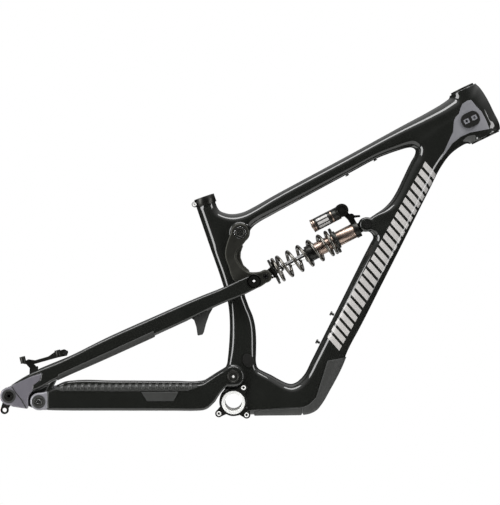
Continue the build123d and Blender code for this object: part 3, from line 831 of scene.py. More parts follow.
@dataclass
class Dressed:
    """A CAD piece shown as it is, with its finish and the softness of its edges."""

    node: str
    finish: Finish
    ease: float = 0.35

    def build(self) -> bpy.types.Object:
        """Dress the piece."""
        return carried(self.node, self.finish, self.ease)


@dataclass
class SubAssembly:
    """Pieces that ride on one CAD body."""

    body: str = "front_frame"
    dressed: list[Dressed] = field(default_factory=list)

    def made(self) -> list[bpy.types.Object]:
        """The pieces that this sub-assembly makes itself."""
        return []

    def build(self) -> list[bpy.types.Object]:
        """Make and dress every piece.

        Returns:
            The pieces.
        """
        fresh = self.made()
        for piece in fresh:
            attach(piece, self.body)
        return fresh + [d.build() for d in self.dressed]


@dataclass
class MouldedPart(SubAssembly):
    """A hollow carbon moulding, drawn as a distance field on a grid and then meshed."""

    step: float = 1.8
    low: tuple[float, float] = (0.0, 0.0)
    high: tuple[float, float] = (1.0, 1.0)
    reach: float = 36.0

    def __post_init__(self) -> None:
        """Lay out the grid."""
        count = math.ceil(self.reach / self.step)
        self.plan = Plan(self.low, self.high, self.step)
        self.y = (np.arange(-count, count + 1) * self.step)[None, :, None]
        self.side = np.abs(self.y)
        self.gx = self.plan.grid_x[:, None, :]
        self.gz = self.plan.grid_z[:, None, :]
        self.start = (self.low[0], float(self.y[0, 0, 0]), self.low[1])

    def mesh(self, name: str, form: np.ndarray, finish: Finish) -> bpy.types.Object:
        """Mesh a form on this part's grid."""
        return shell(name, form, self.start, self.step, finish)

    def through(self, plane: np.ndarray) -> np.ndarray:
        """A field of the side plane, the same at every distance across."""
        return plane[:, None, :]

    def region(self, outline: Outline) -> np.ndarray:
        """The distance to an outline, the same at every distance across."""
        return self.through(self.plan.inside(np.array(outline, float)))

    def coating(self, form: np.ndarray, region: np.ndarray, thick: float, under: float = 1.2) -> np.ndarray:
        """A layer on the surface of a form.

        Args:
            form: distance to the form.
            region: where the layer lies.
            thick: how far it stands proud.
            under: how far it goes in.

        Returns:
            Distance to the layer.
        """
        return np.maximum(np.maximum(form - thick, -form - under), region)

    def height(self, form: np.ndarray, x: np.ndarray, z: np.ndarray, lift: float) -> np.ndarray:
        """How far across the surface lies, at points of the side plane.

        Args:
            form: distance to the form.
            x: the points' x.
            z: the points' z.
            lift: how far above the surface to stop.

        Returns:
            The distances from the side plane.
        """
        across = range(form.shape[1] // 2, form.shape[1])
        stack = np.array([self.plan.value(form[:, j, :], x, z) - lift for j in across])
        last = len(across) - 2 - np.argmax((stack < 0)[::-1][1:], axis=0)
        last = np.clip(last, 0, len(across) - 2)
        here = np.take_along_axis(stack, last[None], 0)[0]
        ahead = np.take_along_axis(stack, last[None] + 1, 0)[0]
        share = np.clip(here / np.where(here - ahead == 0, 1, here - ahead), 0, 1)
        return (last + share) * self.step

    def skin(
        self,
        name: str,
        form: np.ndarray,
        left: np.ndarray | Outline,
        right: np.ndarray | Outline,
        finish: Finish,
        steps: tuple[int, int] = (24, 8),
        lift: float = 0.25,
        sides: tuple[int, ...] = (-1, 1),
    ) -> bpy.types.Object:
        """A thin film laid on both sides of a form, between two curves.

        Args:
            name: the piece's name.
            form: distance to the form.
            left: one edge of the film.
            right: its other edge, drawn the same way.
            finish: what the film is made of.
            steps: cells along the edges and between them.
            lift: how far it stands proud.
            sides: -1 for the drive side, 1 for the other.

        Returns:
            The film, closed all round.
        """
        a, b = evenly(left, steps[0]), evenly(right, steps[0])
        share = np.linspace(0, 1, steps[1] + 1)[None, :, None]
        grid = a[:, None, :] * (1 - share) + b[:, None, :] * share
        x, z = grid[..., 0], grid[..., 1]
        outer = self.height(form, x, z, lift)
        inner = outer - lift - FILM_ROOT
        layers = [[np.stack([x, way * level, z], -1) for level in (outer, inner)] for way in sides]
        return film(name, layers, finish)


# how far a film reaches below the surface that it lies on
FILM_ROOT = 0.8


def film(name: str, layers: list[list[np.ndarray]], finish: Finish) -> bpy.types.Object:
    """Close thin plates between pairs of point grids.

    Args:
        name: the piece's name.
        layers: for each plate, its outer and its inner grid, as rows, columns and x, y, z.
        finish: what it is made of.

    Returns:
        The object, with all its plates.
    """
    points, faces = [], []
    for outer, inner in layers:
        rows, columns = outer.shape[:2]
        number = np.arange(rows * columns).reshape(rows, columns) + len(points)
        points.extend(np.vstack([outer.reshape(-1, 3), inner.reshape(-1, 3)]).tolist())
        for grid, way in ((number, 1), (number + rows * columns, -1)):
            ring = [grid[:-1, :-1], grid[1:, :-1], grid[1:, 1:], grid[:-1, 1:]]
            faces.extend(np.stack(ring[::way], -1).reshape(-1, 4).tolist())
        rim = np.concatenate([number[:-1, 0], number[-1, :-1], number[:0:-1, -1], number[0, :0:-1]])
        deep = rim + rows * columns
        faces.extend(np.column_stack([np.roll(rim, -1), rim, deep, np.roll(deep, -1)]).tolist())
    piece = solid(name, np.array(points), faces, finish, 40)
    turn_outward(piece)
    return piece


def evenly(line: np.ndarray | Outline, steps: int) -> np.ndarray:
    """Points at even distances along a line.

    Args:
        line: the line's corners.
        steps: how many parts it is cut into.

    Returns:
        One row for each point.
    """
    p = np.asarray(line, float)
    t = np.concatenate([[0], np.cumsum(np.linalg.norm(np.diff(p, axis=0), axis=1))])
    u = np.linspace(0, t[-1], steps + 1)
    return np.column_stack([np.interp(u, t, p[:, k]) for k in range(p.shape[1])])


def swept(name: str, line: np.ndarray, radius: float, finish: Finish, sides: int = 20) -> bpy.types.Object:
    """A round wire along a line, with flat ends.

    Args:
        name: the piece's name.
        line: its centre line.
        radius: the wire's radius.
        finish: what it is made of.
        sides: how many flats stand for the round.

    Returns:
        The object.
    """
    tangent = np.gradient(line, axis=0)
    tangent /= np.linalg.norm(tangent, axis=1)[:, None]
    normal = np.cross(tangent[0], (0.3, 0.2, 0.9))
    angle = 2 * np.pi * np.arange(sides) / sides
    points = []
    for place, way in zip(line, tangent):
        normal = normal - way * np.dot(normal, way)
        normal /= np.linalg.norm(normal)
        side = np.cross(way, normal)
        points.extend(place + radius * (math.cos(a) * normal + math.sin(a) * side) for a in angle)
    number = np.arange(len(points)).reshape(-1, sides)
    ahead = np.roll(number, -1, axis=1)
    around = np.stack([number[:-1], ahead[:-1], ahead[1:], number[1:]], -1).reshape(-1, 4)
    faces = around.tolist() + [number[0][::-1].tolist(), number[-1].tolist()]
    piece = solid(name, np.array(points), faces, finish, 50)
    turn_outward(piece)
    return piece


# ---------------------------------------------------------------- the front triangle


@dataclass
class FrontTriangle(MouldedPart):
    """The moulded front triangle, with its guards, its grey panels and the bars on its down tube."""

    low: Point = (-90.0, -42.0)
    high: Point = (552.0, 656.0)
    reach: float = 37.0
    top_tube: list = field(
        default_factory=lambda: [
            (-20, 345, 22, 17, 16), (14, 362, 20, 20, 18), (40, 377, 18, 21, 17),
            (90, 403.5, 16.5, 22, 14), (240, 484.5, 16.5, 23, 14), (320, 528, 18, 24, 15),
            (385, 561, 26, 26, 20), (470, 600, 36, 28, 27),
        ]
    )
    down_tube: list = field(
        default_factory=lambda: [
            (10, 8, 32, 31.5, 8), (75, 12, 37, 30, 13), (138, 18, 32, 28, 17), (184, 67, 29, 27, 19),
            (242, 183.6, 28.5, 27, 19), (330, 358, 28.5, 27, 19), (392, 478, 30, 28, 21),
            (440, 545, 37, 29, 21), (505, 575, 40, 30, 24),
        ]
    )
    mast: list = field(
        default_factory=lambda: [
            (9, 30, 27, 29, 8), (17, 75, 30, 28, 11), (18.5, 115, 27.5, 24, 14), (18, 158, 25, 21, 13),
            (9, 200, 21, 19.5, 13), (-3, 245, 19, 18.5, 14), (-14, 290, 17, 16, 12),
        ]
    )
    fork: list = field(
        default_factory=lambda: [(330, 372, 18, 25, 6), (296, 362, 14, 24, 4), (269.7, 359.2, 12, 24, 3.5)]
    )
    seat_tube_radius: float = 18.3
    head_radii: tuple[float, float] = (29.0, 34.0)
    main_boss_half: float = 30.0
    rocker_boss_half: float = 23.6
    eyelet_half: float = 13.1
    crown: float = 2.2
    guard_thickness: float = 2.6
    bar_count: int = 25
    bar_share: float = 0.66

    def silhouette(self) -> np.ndarray:
        """The outside outline of the front triangle, from the seat tube's mouth forward."""
        upper = flowing(
            [(-41, 410), (-37, 396), (-30, 388.5), (-21, 384), (-8, 380.8), (10, 381.8), (24, 386),
             (40, 394), (75, 414), (136, 447), (238, 502), (340, 558), (401, 591), (423, 604),
             (444, 619)]
        )
        head = flowing(
            [(489, 643), (498, 640), (505, 632), (512, 621), (531, 583), (538, 569), (540.5, 559), (538, 551)],
            4,
        )
        front = flowing(
            [(486, 526), (474, 524), (462, 518), (442, 503), (421, 475), (401, 436), (380, 394.5),
             (340, 314), (299, 233), (258, 152), (235, 109), (215, 63), (194.5, 25), (176, -6),
             (168, -15.5), (156, -22), (140, -25), (120, -25.5), (60, -25.5), (20, -26)]
        )
        shell_arc = arc((0, 0), 28, 265, 130, 12)
        boss = arc(MAIN_PIVOT, 20, 215, 150, 6)
        rear = flowing(
            [(-12.5, 78), (-10, 101), (-8, 130), (-7.5, 158), (-10.5, 196), (-24, 245), (-50, 320),
             (-76, 396)]
        )
        return joined(upper, head, front, shell_arc, boss, rear)

    def opening(self) -> np.ndarray:
        """The outline of the opening between the tubes."""
        valley = flowing(
            [(32, 190), (38.5, 175), (43.5, 156), (46, 132), (46, 100), (46, 78), (49, 67), (60, 60),
             (75, 53), (97, 41), (108, 36), (118, 34), (127, 37), (140, 48), (159.5, 83), (174, 112),
             (216.5, 196.5), (249, 262), (265, 294), (280, 323), (285, 333), (283, 339.5)]
        )
        tip = arc(SHOCK_FRONT, 13.6, 295, 62, 16)
        corner = flowing(
            [(290, 381), (306, 392), (321, 408), (331, 424), (347, 457), (362, 488), (370, 503), (371, 511),
             (364, 516), (352, 515), (338, 511), (320, 505), (299, 497), (238, 465), (136, 410), (75, 377),
             (52, 364), (40, 355), (33.5, 347)]
        )
        boss = arc(ROCKER_PIVOT, 19, 12, -75, 8)
        rear = flowing([(8, 316), (1, 304), (0, 292), (3, 279), (10, 264), (16, 248), (20, 230), (24, 212)])
        return joined(valley, tip, corner, boss, rear)

    def bar(self, start: Point, end: Point, radius: float) -> np.ndarray:
        """A round bar in the side plane.

        Args:
            start: one end of its axis.
            end: the other end.
            radius: its radius.

        Returns:
            Distance to the bar.
        """
        ex, ez = end[0] - start[0], end[1] - start[1]
        share = np.clip(((self.gx - start[0]) * ex + (self.gz - start[1]) * ez) / (ex * ex + ez * ez), 0, 1)
        away = (self.gx - start[0] - share * ex) ** 2 + (self.gz - start[1] - share * ez) ** 2
        return np.sqrt(away + self.y**2) - radius

    def head_tube(self, form: np.ndarray) -> np.ndarray:
        """Add the tapered head tube, face its ends and bore it for its cups."""
        along = np.array(HEAD_BOTTOM) - np.array(HEAD_TOP)
        length = float(np.hypot(*along))
        along = along / length
        depth = (self.gx - HEAD_TOP[0]) * along[0] + (self.gz - HEAD_TOP[1]) * along[1]
        away = np.hypot((self.gx - HEAD_TOP[0]) * along[1] - (self.gz - HEAD_TOP[1]) * along[0], self.y)
        small, large = self.head_radii
        cone = away - small - (large - small) * np.clip(depth / length, 0, 1)
        form = melt(form, np.maximum(cone, np.maximum(-depth - 2, depth - length - 2)), 6.0)
        bore = np.where(depth < length / 2, 22.1, 28.1)
        bore = np.where((depth > 13) & (depth < length - 13), 19.0, bore)
        form = cut(form, away - bore)
        ends = np.maximum(-depth, depth - length)
        near = (away < np.where(depth < length / 2, 60, 46)) & (depth > -30) & (depth < length + 30)
        return np.where(near, np.maximum(form, ends), form)

    def seat_tube_mouth(self, form: np.ndarray) -> np.ndarray:
        """Face the seat tube's mouth and bore it for the post."""
        ux, uz = -0.329, 0.944
        height = (self.gx - SEAT_TOP[0]) * ux + (self.gz - SEAT_TOP[1]) * uz
        away = np.hypot((self.gx - SEAT_TOP[0]) * uz - (self.gz - SEAT_TOP[1]) * ux, self.y)
        form = np.where(away < 34, np.maximum(form, height), form)
        return cut(form, np.maximum(away - 15.8, -height - 200))

    def form(self) -> np.ndarray:
        """The whole moulding as a distance in space, negative inside."""
        plan, side = self.plan, self.side
        outline = softened(cut(plan.inside(self.silhouette()), plan.inside(self.opening())), 2)
        half_depth, half_width, edge = plan.blended([self.top_tube, self.down_tube, self.mast, self.fork])
        inward = np.clip(np.maximum(-outline, 0) / half_depth, 0, 1)
        top = half_width - self.crown * (1 - inward) ** 2
        body = inflated(outline, top, np.minimum(edge, half_width), side)
        body = melt(body, self.bar((-3.0, 252.0), SEAT_TOP, self.seat_tube_radius), 5.0)
        body = melt(body, layer(plan.disc((0, 0), 28.0), side, -32.0, 32.0, 2.5), 3.0)
        for place, radius, half, near in (
            (MAIN_PIVOT, 20.0, self.main_boss_half, 26.0),
            (ROCKER_PIVOT, 18.7, self.rocker_boss_half, 60.0),
        ):
            boss = layer(plan.disc(place, radius), side, -half, half, 2.5)
            room = np.minimum(side - half, -self.through(plan.disc(place, near)))
            body = np.maximum(melt(body, boss, 5.0), room)
        body = melt(body, layer(plan.disc(SHOCK_FRONT, 14.0), side, -24.0, 24.0, 3.0), 4.0)
        gap = np.array([(236, 326), (277, 344), (262, 376), (228, 382)])
        slot = np.minimum(plan.disc(SHOCK_FRONT, 17.0), plan.inside(gap))
        body = cut(body, layer(slot, side, -self.eyelet_half, self.eyelet_half, 0.5))
        for place, radius in ((SHOCK_FRONT, 5.0), (MAIN_PIVOT, 7.5), (ROCKER_PIVOT, 7.5), ((0, 0), 22.4)):
            body = cut(body, self.through(plan.disc(place, radius)))
        return self.seat_tube_mouth(self.head_tube(body))

    def panels(self, form: np.ndarray) -> bpy.types.Object:
        """The grey panel beside the head tube, drawn out to a point along the down tube; the last stretch of
        its pointed tail, past where the paint ends, is a painted highlight along the down tube's edge.
        """
        # the last points of both edges run past the paint's end and paint the light line along the down tube
        left = [
            (471.2, 608.5), (462, 601.8), (458.3, 592.7), (455.2, 582), (449.5, 577), (445.2, 568.5),
            (443.2, 545), (436, 530), (426, 507), (418, 489),
        ]
        right = [
            (479, 610.3), (484, 605), (488.6, 598.6), (500.7, 586), (509.5, 569.5), (516.6, 551.4),
            (478.5, 544.5), (459.5, 536.2), (442, 522.3), (418.6, 488.6),
        ]
        return self.skin("head_panel_and_painted_highlight", form, left, right, PANEL_PAINT, (90, 16), 0.22)

    def bars(self, form: np.ndarray) -> list[bpy.types.Object]:
        """A row of slanted pale bars up the sides of the down tube."""
        low, high = np.array((201.0, 118.0)), np.array((401.0, 478.0))
        along = (high - low) / np.linalg.norm(high - low)
        across = np.array((-along[1], along[0]))
        pitch = np.linalg.norm(high - low) / self.bar_count
        films = []
        for k in range(self.bar_count):
            base = low + along * pitch * k
            ends = []
            for share in (0.0, self.bar_share):
                foot = base + along * pitch * share - across * 18 - along * 6
                tip = base + along * pitch * share + across * 16 + along * 6
                ends.append([tuple(foot), tuple(tip)])
            films.append(
                self.skin(f"down_tube_bar_{k + 1:02d}", form, ends[0], ends[1], DECAL_FILM, (12, 4), 0.18)
            )
        return films

    def guards(self, form: np.ndarray) -> list[bpy.types.Object]:
        """The rubber guards bonded below the down tube and the bottom bracket."""
        down = [(252, 122), (236, 92), (190, 84), (167, 10), (152, -5), (141, -9), (141, -40), (240, -40)]
        below = [(138.5, -11), (60, -15), (42, -19), (42, -40), (138.5, -40)]
        rows = (("down_tube_guard_pad", "downtube_guard", down), ("shell_guard_pad", "bb_guard", below))
        pieces = []
        for name, node, region in rows:
            pad = self.coating(form, self.region(region), self.guard_thickness, 1.6)
            pieces.append(self.mesh(name, pad, RUBBER))
            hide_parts(node)
        return pieces

    def made(self) -> list[bpy.types.Object]:
        """The moulding and all that lies on it."""
        form = self.form()
        carbon = self.mesh("carbon_front_triangle", form, CARBON)
        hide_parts("front_triangle")
        return [carbon, self.panels(form), *self.bars(form), *self.guards(form)]


# ---------------------------------------------------------------- the rear triangle


@dataclass
class Chainstay(MouldedPart):
    """The chainstay, with its guard and the pad that stops a dropped chain."""

    body: str = "chainstay_assembly"
    low: Point = (-412.0, -34.0)
    high: Point = (26.0, 84.0)
    reach: float = 86.0
    line: list = field(
        default_factory=lambda: [
            (-420, 0, 77, 5.0, 3.0), (-386, 0, 77, 5.0, 3.5), (-366, 0, 76.5, 5.6, 4.5),
            (-352, 0, 75, 7.4, 6.0), (-250, 0, 63, 7.9, 6.5), (-120, 0, 50, 7.5, 6.0),
            (-64, 0, 43.5, 7.0, 5.5), (-44, 0, 39.5, 6.0, 5.0), (-20, 0, 37, 6.0, 4.0),
            (0, 0, 36.25, 5.75, 2.5), (30, 0, 36.25, 5.75, 2.5),
        ]
    )
    boss_radius: float = 20.5
    horst_boss_radius: float = 17.0
    guard_wall: float = 0.8
    rib_height: float = 2.9
    rib_count: int = 20
    rib_pitch: float = 13.4

    def outline(self) -> np.ndarray:
        """The stay seen from the side."""
        upper = flowing(
            [(-18, 66), (-33, 57), (-50, 46), (-60, 39.8), (-72, 37.6), (-120, 37.4), (-250, 37.2),
             (-335, 36.4), (-352, 34), (-368, 27), (-386, 22.5)]
        )
        rear = arc(HORST_PIVOT, 16.6, 95, 265, 16)
        lower = flowing(
            [(-386, -10.6), (-352, -12), (-250, -13.6), (-120, -15), (-68, -15.4), (-62, -15),
             (-53.6, -12.6), (-42.5, -4), (-23.7, 21.6), (-15, 31), (3, 38)]
        )
        boss = arc(MAIN_PIVOT, self.boss_radius, -60, 130, 18)
        return joined(upper, rear, lower, boss)

    def form(self) -> np.ndarray:
        """Both arms and the yoke as one distance in space."""
        table = np.array(self.line, float)
        across, half, edge = (np.interp(self.plan.grid_x, table[:, 0], table[:, k]) for k in (2, 3, 4))
        outline = softened(self.plan.inside(self.outline()), 2)
        arm = inflated(outline, half, edge, np.abs(self.side - self.through(across)))
        boss = layer(self.plan.disc(MAIN_PIVOT, self.boss_radius), self.side, 30.5, 42.0, 2.5)
        arm = melt(arm, boss, 3.0)
        horst = layer(self.plan.disc(HORST_PIVOT, self.horst_boss_radius), self.side, 72.0, 82.0, 2.5)
        arm = melt(arm, horst, 3.0)
        yoke = np.array([(-61, 2), (-39, 4), (-33, 40), (-58, 36)])
        arm = melt(arm, layer(softened(self.plan.inside(yoke), 2), self.side, -40.0, 40.0, 6.0), 8.0)
        arm = np.maximum(arm, np.minimum(30.5 - self.side, -self.through(self.plan.disc(MAIN_PIVOT, 26.0))))
        arm = np.maximum(arm, np.minimum(33.0 - self.side, -self.through(self.plan.disc((0, 0), 30.0))))
        arm = cut(arm, self.through(self.plan.disc(MAIN_PIVOT, 12.0)))
        return cut(arm, self.through(self.plan.disc(HORST_PIVOT, 8.0)))

    def made(self) -> list[bpy.types.Object]:
        """The moulding and its painted rear ends."""
        form = self.form()
        seam = self.through(self.plan.grid_x + 369.0)
        carbon = self.mesh("carbon_chainstay", np.maximum(form, -seam), CARBON)
        ends = self.mesh("chainstay_pivot_ends", np.maximum(form, seam), PIVOT_ENAMEL)
        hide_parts("chainstay")
        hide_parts("chainstay")
        return [carbon, ends, *self.guard(form)]

    def guard(self, form: np.ndarray) -> list[bpy.types.Object]:
        """The rubber guard along the top of the drive side, its ribs, and the pad below it.

        Args:
            form: distance to the moulding.

        Returns:
            The three pieces.
        """
        strip = [(-356, 30), (-340, 26), (-200, 25), (-90, 25), (-72, 31), (-66, 60), (-356, 60)]
        base = np.maximum(self.coating(form, self.region(strip), self.guard_wall), self.y)
        ribs = np.full(self.plan.grid_x.shape, 1e9)
        for k in range(self.rib_count):
            x = -341 + k * self.rib_pitch
            rib = np.array([(x - 3.5, 29.0), (x + 3.5, 27.5), (x + 5.5, 50.0), (x - 2.0, 50.0)])
            ribs = np.minimum(ribs, self.plan.inside(rib))
        ribbed = np.maximum(self.coating(form, self.through(ribs), self.rib_height), self.y)
        pad = [(-184, 24), (-109, 24), (-119, 4.5), (-172, 4.5)]
        below = np.maximum(self.coating(form, self.region(pad), 1.2), self.y)
        pieces = [
            self.mesh("chainstay_guard_strip", base, RUBBER),
            self.mesh("chainstay_guard_ribs", ribbed, RIB_RUBBER),
            self.mesh("dropped_chain_pad", below, RUBBER),
        ]
        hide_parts("chainstay_guard")
        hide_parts("chainstay_guard")
        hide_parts("chainsuck_plate")
        return pieces


@dataclass
class Seatstay(MouldedPart):
    """The seatstay, with its dropouts."""

    body: str = "seatstay_assembly"
    low: Point = (-474.0, -26.0)
    high: Point = (66.0, 268.0)
    reach: float = 86.0
    line: list = field(
        default_factory=lambda: [
            (-470, 0, 78.5, 4.5, 3.0), (-408, 0, 78, 4.8, 3.5), (-380, 0, 74, 6.0, 5.0),
            (-345, 0, 70, 7.0, 6.0), (-165, 0, 51, 7.0, 6.2), (-66, 0, 41, 6.5, 5.6),
            (-10, 0, 38.3, 5.7, 4.6), (41.6, 0, 38.3, 5.7, 3.0), (66, 0, 38.3, 5.7, 3.0),
        ]
    )
    tip_radius: float = 15.0
    axle_boss_radius: float = 17.5
    guard_wall: float = 2.4

    def outline(self) -> np.ndarray:
        """The stay seen from the side."""
        upper = flowing(
            [(-449, 34), (-430, 46), (-408, 59), (-385, 69), (-345, 85.5), (-265, 125), (-165, 170),
             (-65, 213.6), (-25, 229.5), (10, 246), (30, 254.5)]
        )
        tip = arc(STAY_PIVOT, self.tip_radius, 125, -60, 18)
        lower = flowing(
            [(46, 229.5), (23, 218), (-25, 198), (-95, 164), (-165, 132), (-265, 87), (-345, 52),
             (-362, 44), (-376, 36), (-386, 31)]
        )
        scoop = flowing([(-398, 27), (-405, 19), (-407, 6), (-407, -9)])
        boss = arc(REAR_AXLE, self.axle_boss_radius, 280, 120, 12)
        return joined(upper, tip, lower, scoop, [(-441, -4)], boss)

    def form(self) -> np.ndarray:
        """Both stays, their bridge and the dropouts as one distance in space."""
        plan, side = self.plan, self.side
        table = np.array(self.line, float)
        across, half, edge = (np.interp(plan.grid_x, table[:, 0], table[:, k]) for k in (2, 3, 4))
        outline = softened(plan.inside(self.outline()), 2)
        stay = inflated(outline, half, edge, np.abs(side - self.through(across)))
        stay = melt(stay, layer(plan.disc(REAR_AXLE, self.axle_boss_radius), side, 74.0, 83.0, 2.0), 3.0)
        bridge = np.array([(-118, 178), (-110, 163), (-96, 167), (-84, 182), (-98, 188)])
        stay = melt(stay, layer(softened(plan.inside(bridge), 2), side, -42.0, 42.0, 5.0), 8.0)
        tip_zone = self.through(plan.inside(np.array([(-22, 180), (72, 180), (72, 292), (-22, 292)])))
        stay = np.maximum(stay, np.minimum(32.6 - side, -tip_zone))
        stay = cut(stay, np.maximum(self.through(plan.disc(HORST_PIVOT, 18.5)), 71.6 - side))
        lug_outline = np.array([(-422, 40), (-372, 60), (-364, 44), (-376, 20), (-400, -8), (-424, 4)])
        lug = np.minimum(plan.inside(lug_outline), plan.disc(HORST_PIVOT, 17.0))
        stay = melt(stay, layer(softened(lug, 1), side, 62.0, 71.5, 2.0), 2.0)
        stay = cut(stay, np.maximum(self.through(plan.disc(HORST_PIVOT, 24.0)), side - 62.0))
        for place, radius in ((STAY_PIVOT, 8.0), (HORST_PIVOT, 5.0), (REAR_AXLE, 10.0)):
            stay = cut(stay, self.through(plan.disc(place, radius)))
        return stay

    def made(self) -> list[bpy.types.Object]:
        """The carbon stays and their enamelled dropouts."""
        form = self.form()
        painted = [
            (-480, -30), (-480, 20), (-462, 28), (-440, 38), (-403.5, 55), (-380, 63), (-384, 48),
            (-398, 38), (-398, 20), (-360, -30),
        ]
        ends = np.maximum(self.region(painted), 72.5 - self.side)
        carbon = self.mesh("carbon_seatstay", np.maximum(form, -ends), CARBON)
        dropouts = self.mesh("seatstay_dropouts", np.maximum(form, ends), DROPOUT_ENAMEL)
        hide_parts("seatstay")
        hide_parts("seatstay")
        return [carbon, dropouts, self.guard(form), self.seam(form)]

    def guard(self, form: np.ndarray) -> bpy.types.Object:
        """The rubber guard bonded under the drive-side stay."""
        strip = [(-356, 20), (-348, 60), (-265, 97.5), (-159, 146), (-154, 120), (-160, 90)]
        pad = np.maximum(self.coating(form, self.region(strip), self.guard_wall), self.y)
        piece = self.mesh("seatstay_guard_strip", pad, RUBBER)
        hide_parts("seatstay_guard")
        return piece

    def seam(self, form: np.ndarray) -> bpy.types.Object:
        """The dark joint line between the drive-side dropout and its hanger insert."""
        line = flowing([(-439, 36), (-430, 22), (-420, 9.5), (-413.5, -2), (-411, -7.5)])
        return self.skin(
            "dropout_seam", form, line - (0.9, 0.4), line + (0.9, 0.4), RUBBER, (20, 1), 0.3, sides=(-1,)
        )


# ---------------------------------------------------------------- the rocker link


@dataclass
class RockerLink(MouldedPart):
    """The forged link between the front triangle, the seatstay and the shock."""

    body: str = "rocker_assembly"
    step: float = 1.3
    low: Point = (-26.0, 222.0)
    high: Point = (86.0, 368.0)
    reach: float = 35.0
    plate: tuple[float, float] = (24.0, 32.0)
    shock_side: float = 13.4

    def outline(self) -> np.ndarray:
        """One plate seen from the side."""
        front = flowing(
            [(31, 346), (29, 334), (17, 316), (6, 303), (4, 294), (7, 286), (15, 274), (27, 264), (46, 262),
             (68, 267)], 4,
        )
        back = flowing(
            [(79, 254), (66, 241), (52, 232), (36, 229), (14, 236), (2, 244), (-10.5, 275), (-16.3, 292),
             (-16.3, 308), (-10.7, 329), (-4, 345)], 4,
        )
        return joined(front, back)

    def made(self) -> list[bpy.types.Object]:
        """The two plates and the web between them."""
        plan, side = self.plan, self.side
        low, high = self.plate
        outline = plan.inside(self.outline())
        for place, radius in ((ROCKER_PIVOT, 18.7), (STAY_PIVOT, 14.5), (SHOCK_REAR, 13.0)):
            outline = np.minimum(outline, plan.disc(place, radius))
        link_form = layer(softened(outline, 1), side, low, high, 2.6)
        neck = layer(plan.disc(SHOCK_REAR, 11.5), side, self.shock_side, low + 2, 0.8)
        link_form = np.minimum(link_form, neck)
        web = [
            (20, 317), (15, 303), (14.5, 292), (20, 277), (32, 266), (34, 255), (20, 264), (7, 282),
            (3.2, 294), (3.6, 302), (8, 314),
        ]
        web = cut(cut(plan.inside(np.array(web)), plan.disc(ROCKER_PIVOT, 20.5)), plan.disc(SHOCK_REAR, 14.5))
        link_form = melt(link_form, layer(web, side, -25.0, 25.0, 2.0), 3.0)
        for place, radius in ((ROCKER_PIVOT, 12.0), (STAY_PIVOT, 11.0), (SHOCK_REAR, 5.0)):
            link_form = cut(link_form, self.through(plan.disc(place, radius)))
        plates = self.mesh("forged_rocker_link", link_form, GREY_ANODISED)
        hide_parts("rocker_link")
        return [plates]


# ---------------------------------------------------------------- pivots


SIDES = ((-1, "drive"), (1, "left"))


@dataclass
class PivotCap:
    """A turned cap over a pivot, with a raised rim and a socket, on both sides of the frame."""

    name: str
    place: Point
    base: float
    radius: float
    height: float
    socket: float
    rim: float
    sight: float

    def build(self, body: str) -> list[bpy.types.Object]:
        """Turn the two caps.

        Args:
            body: the CAD body that they ride on.

        Returns:
            The caps.
        """
        high = self.height
        inner = self.radius * self.rim
        collar = self.socket + 0.8
        profile = [
            (0.0, self.sight), (0.0, self.radius), (high * 0.55, self.radius),
            (high, self.radius - high * 0.4),
            (high, inner + 0.8), (high * 0.6, inner), (high * 0.6, collar + 0.4), (high * 0.75, collar),
            (high * 0.75, self.socket), (high * 0.2, self.socket), (high * 0.2, self.sight),
        ]
        pieces = []
        for side, word in SIDES:
            start = (self.place[0], side * self.base, self.place[1])
            cap = turned(f"{self.name}_{word}", profile, start, (0, side, 0), BLACK_ANODISED, 0.25, 64)
            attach(cap, body)
            pieces.append(cap)
        return pieces


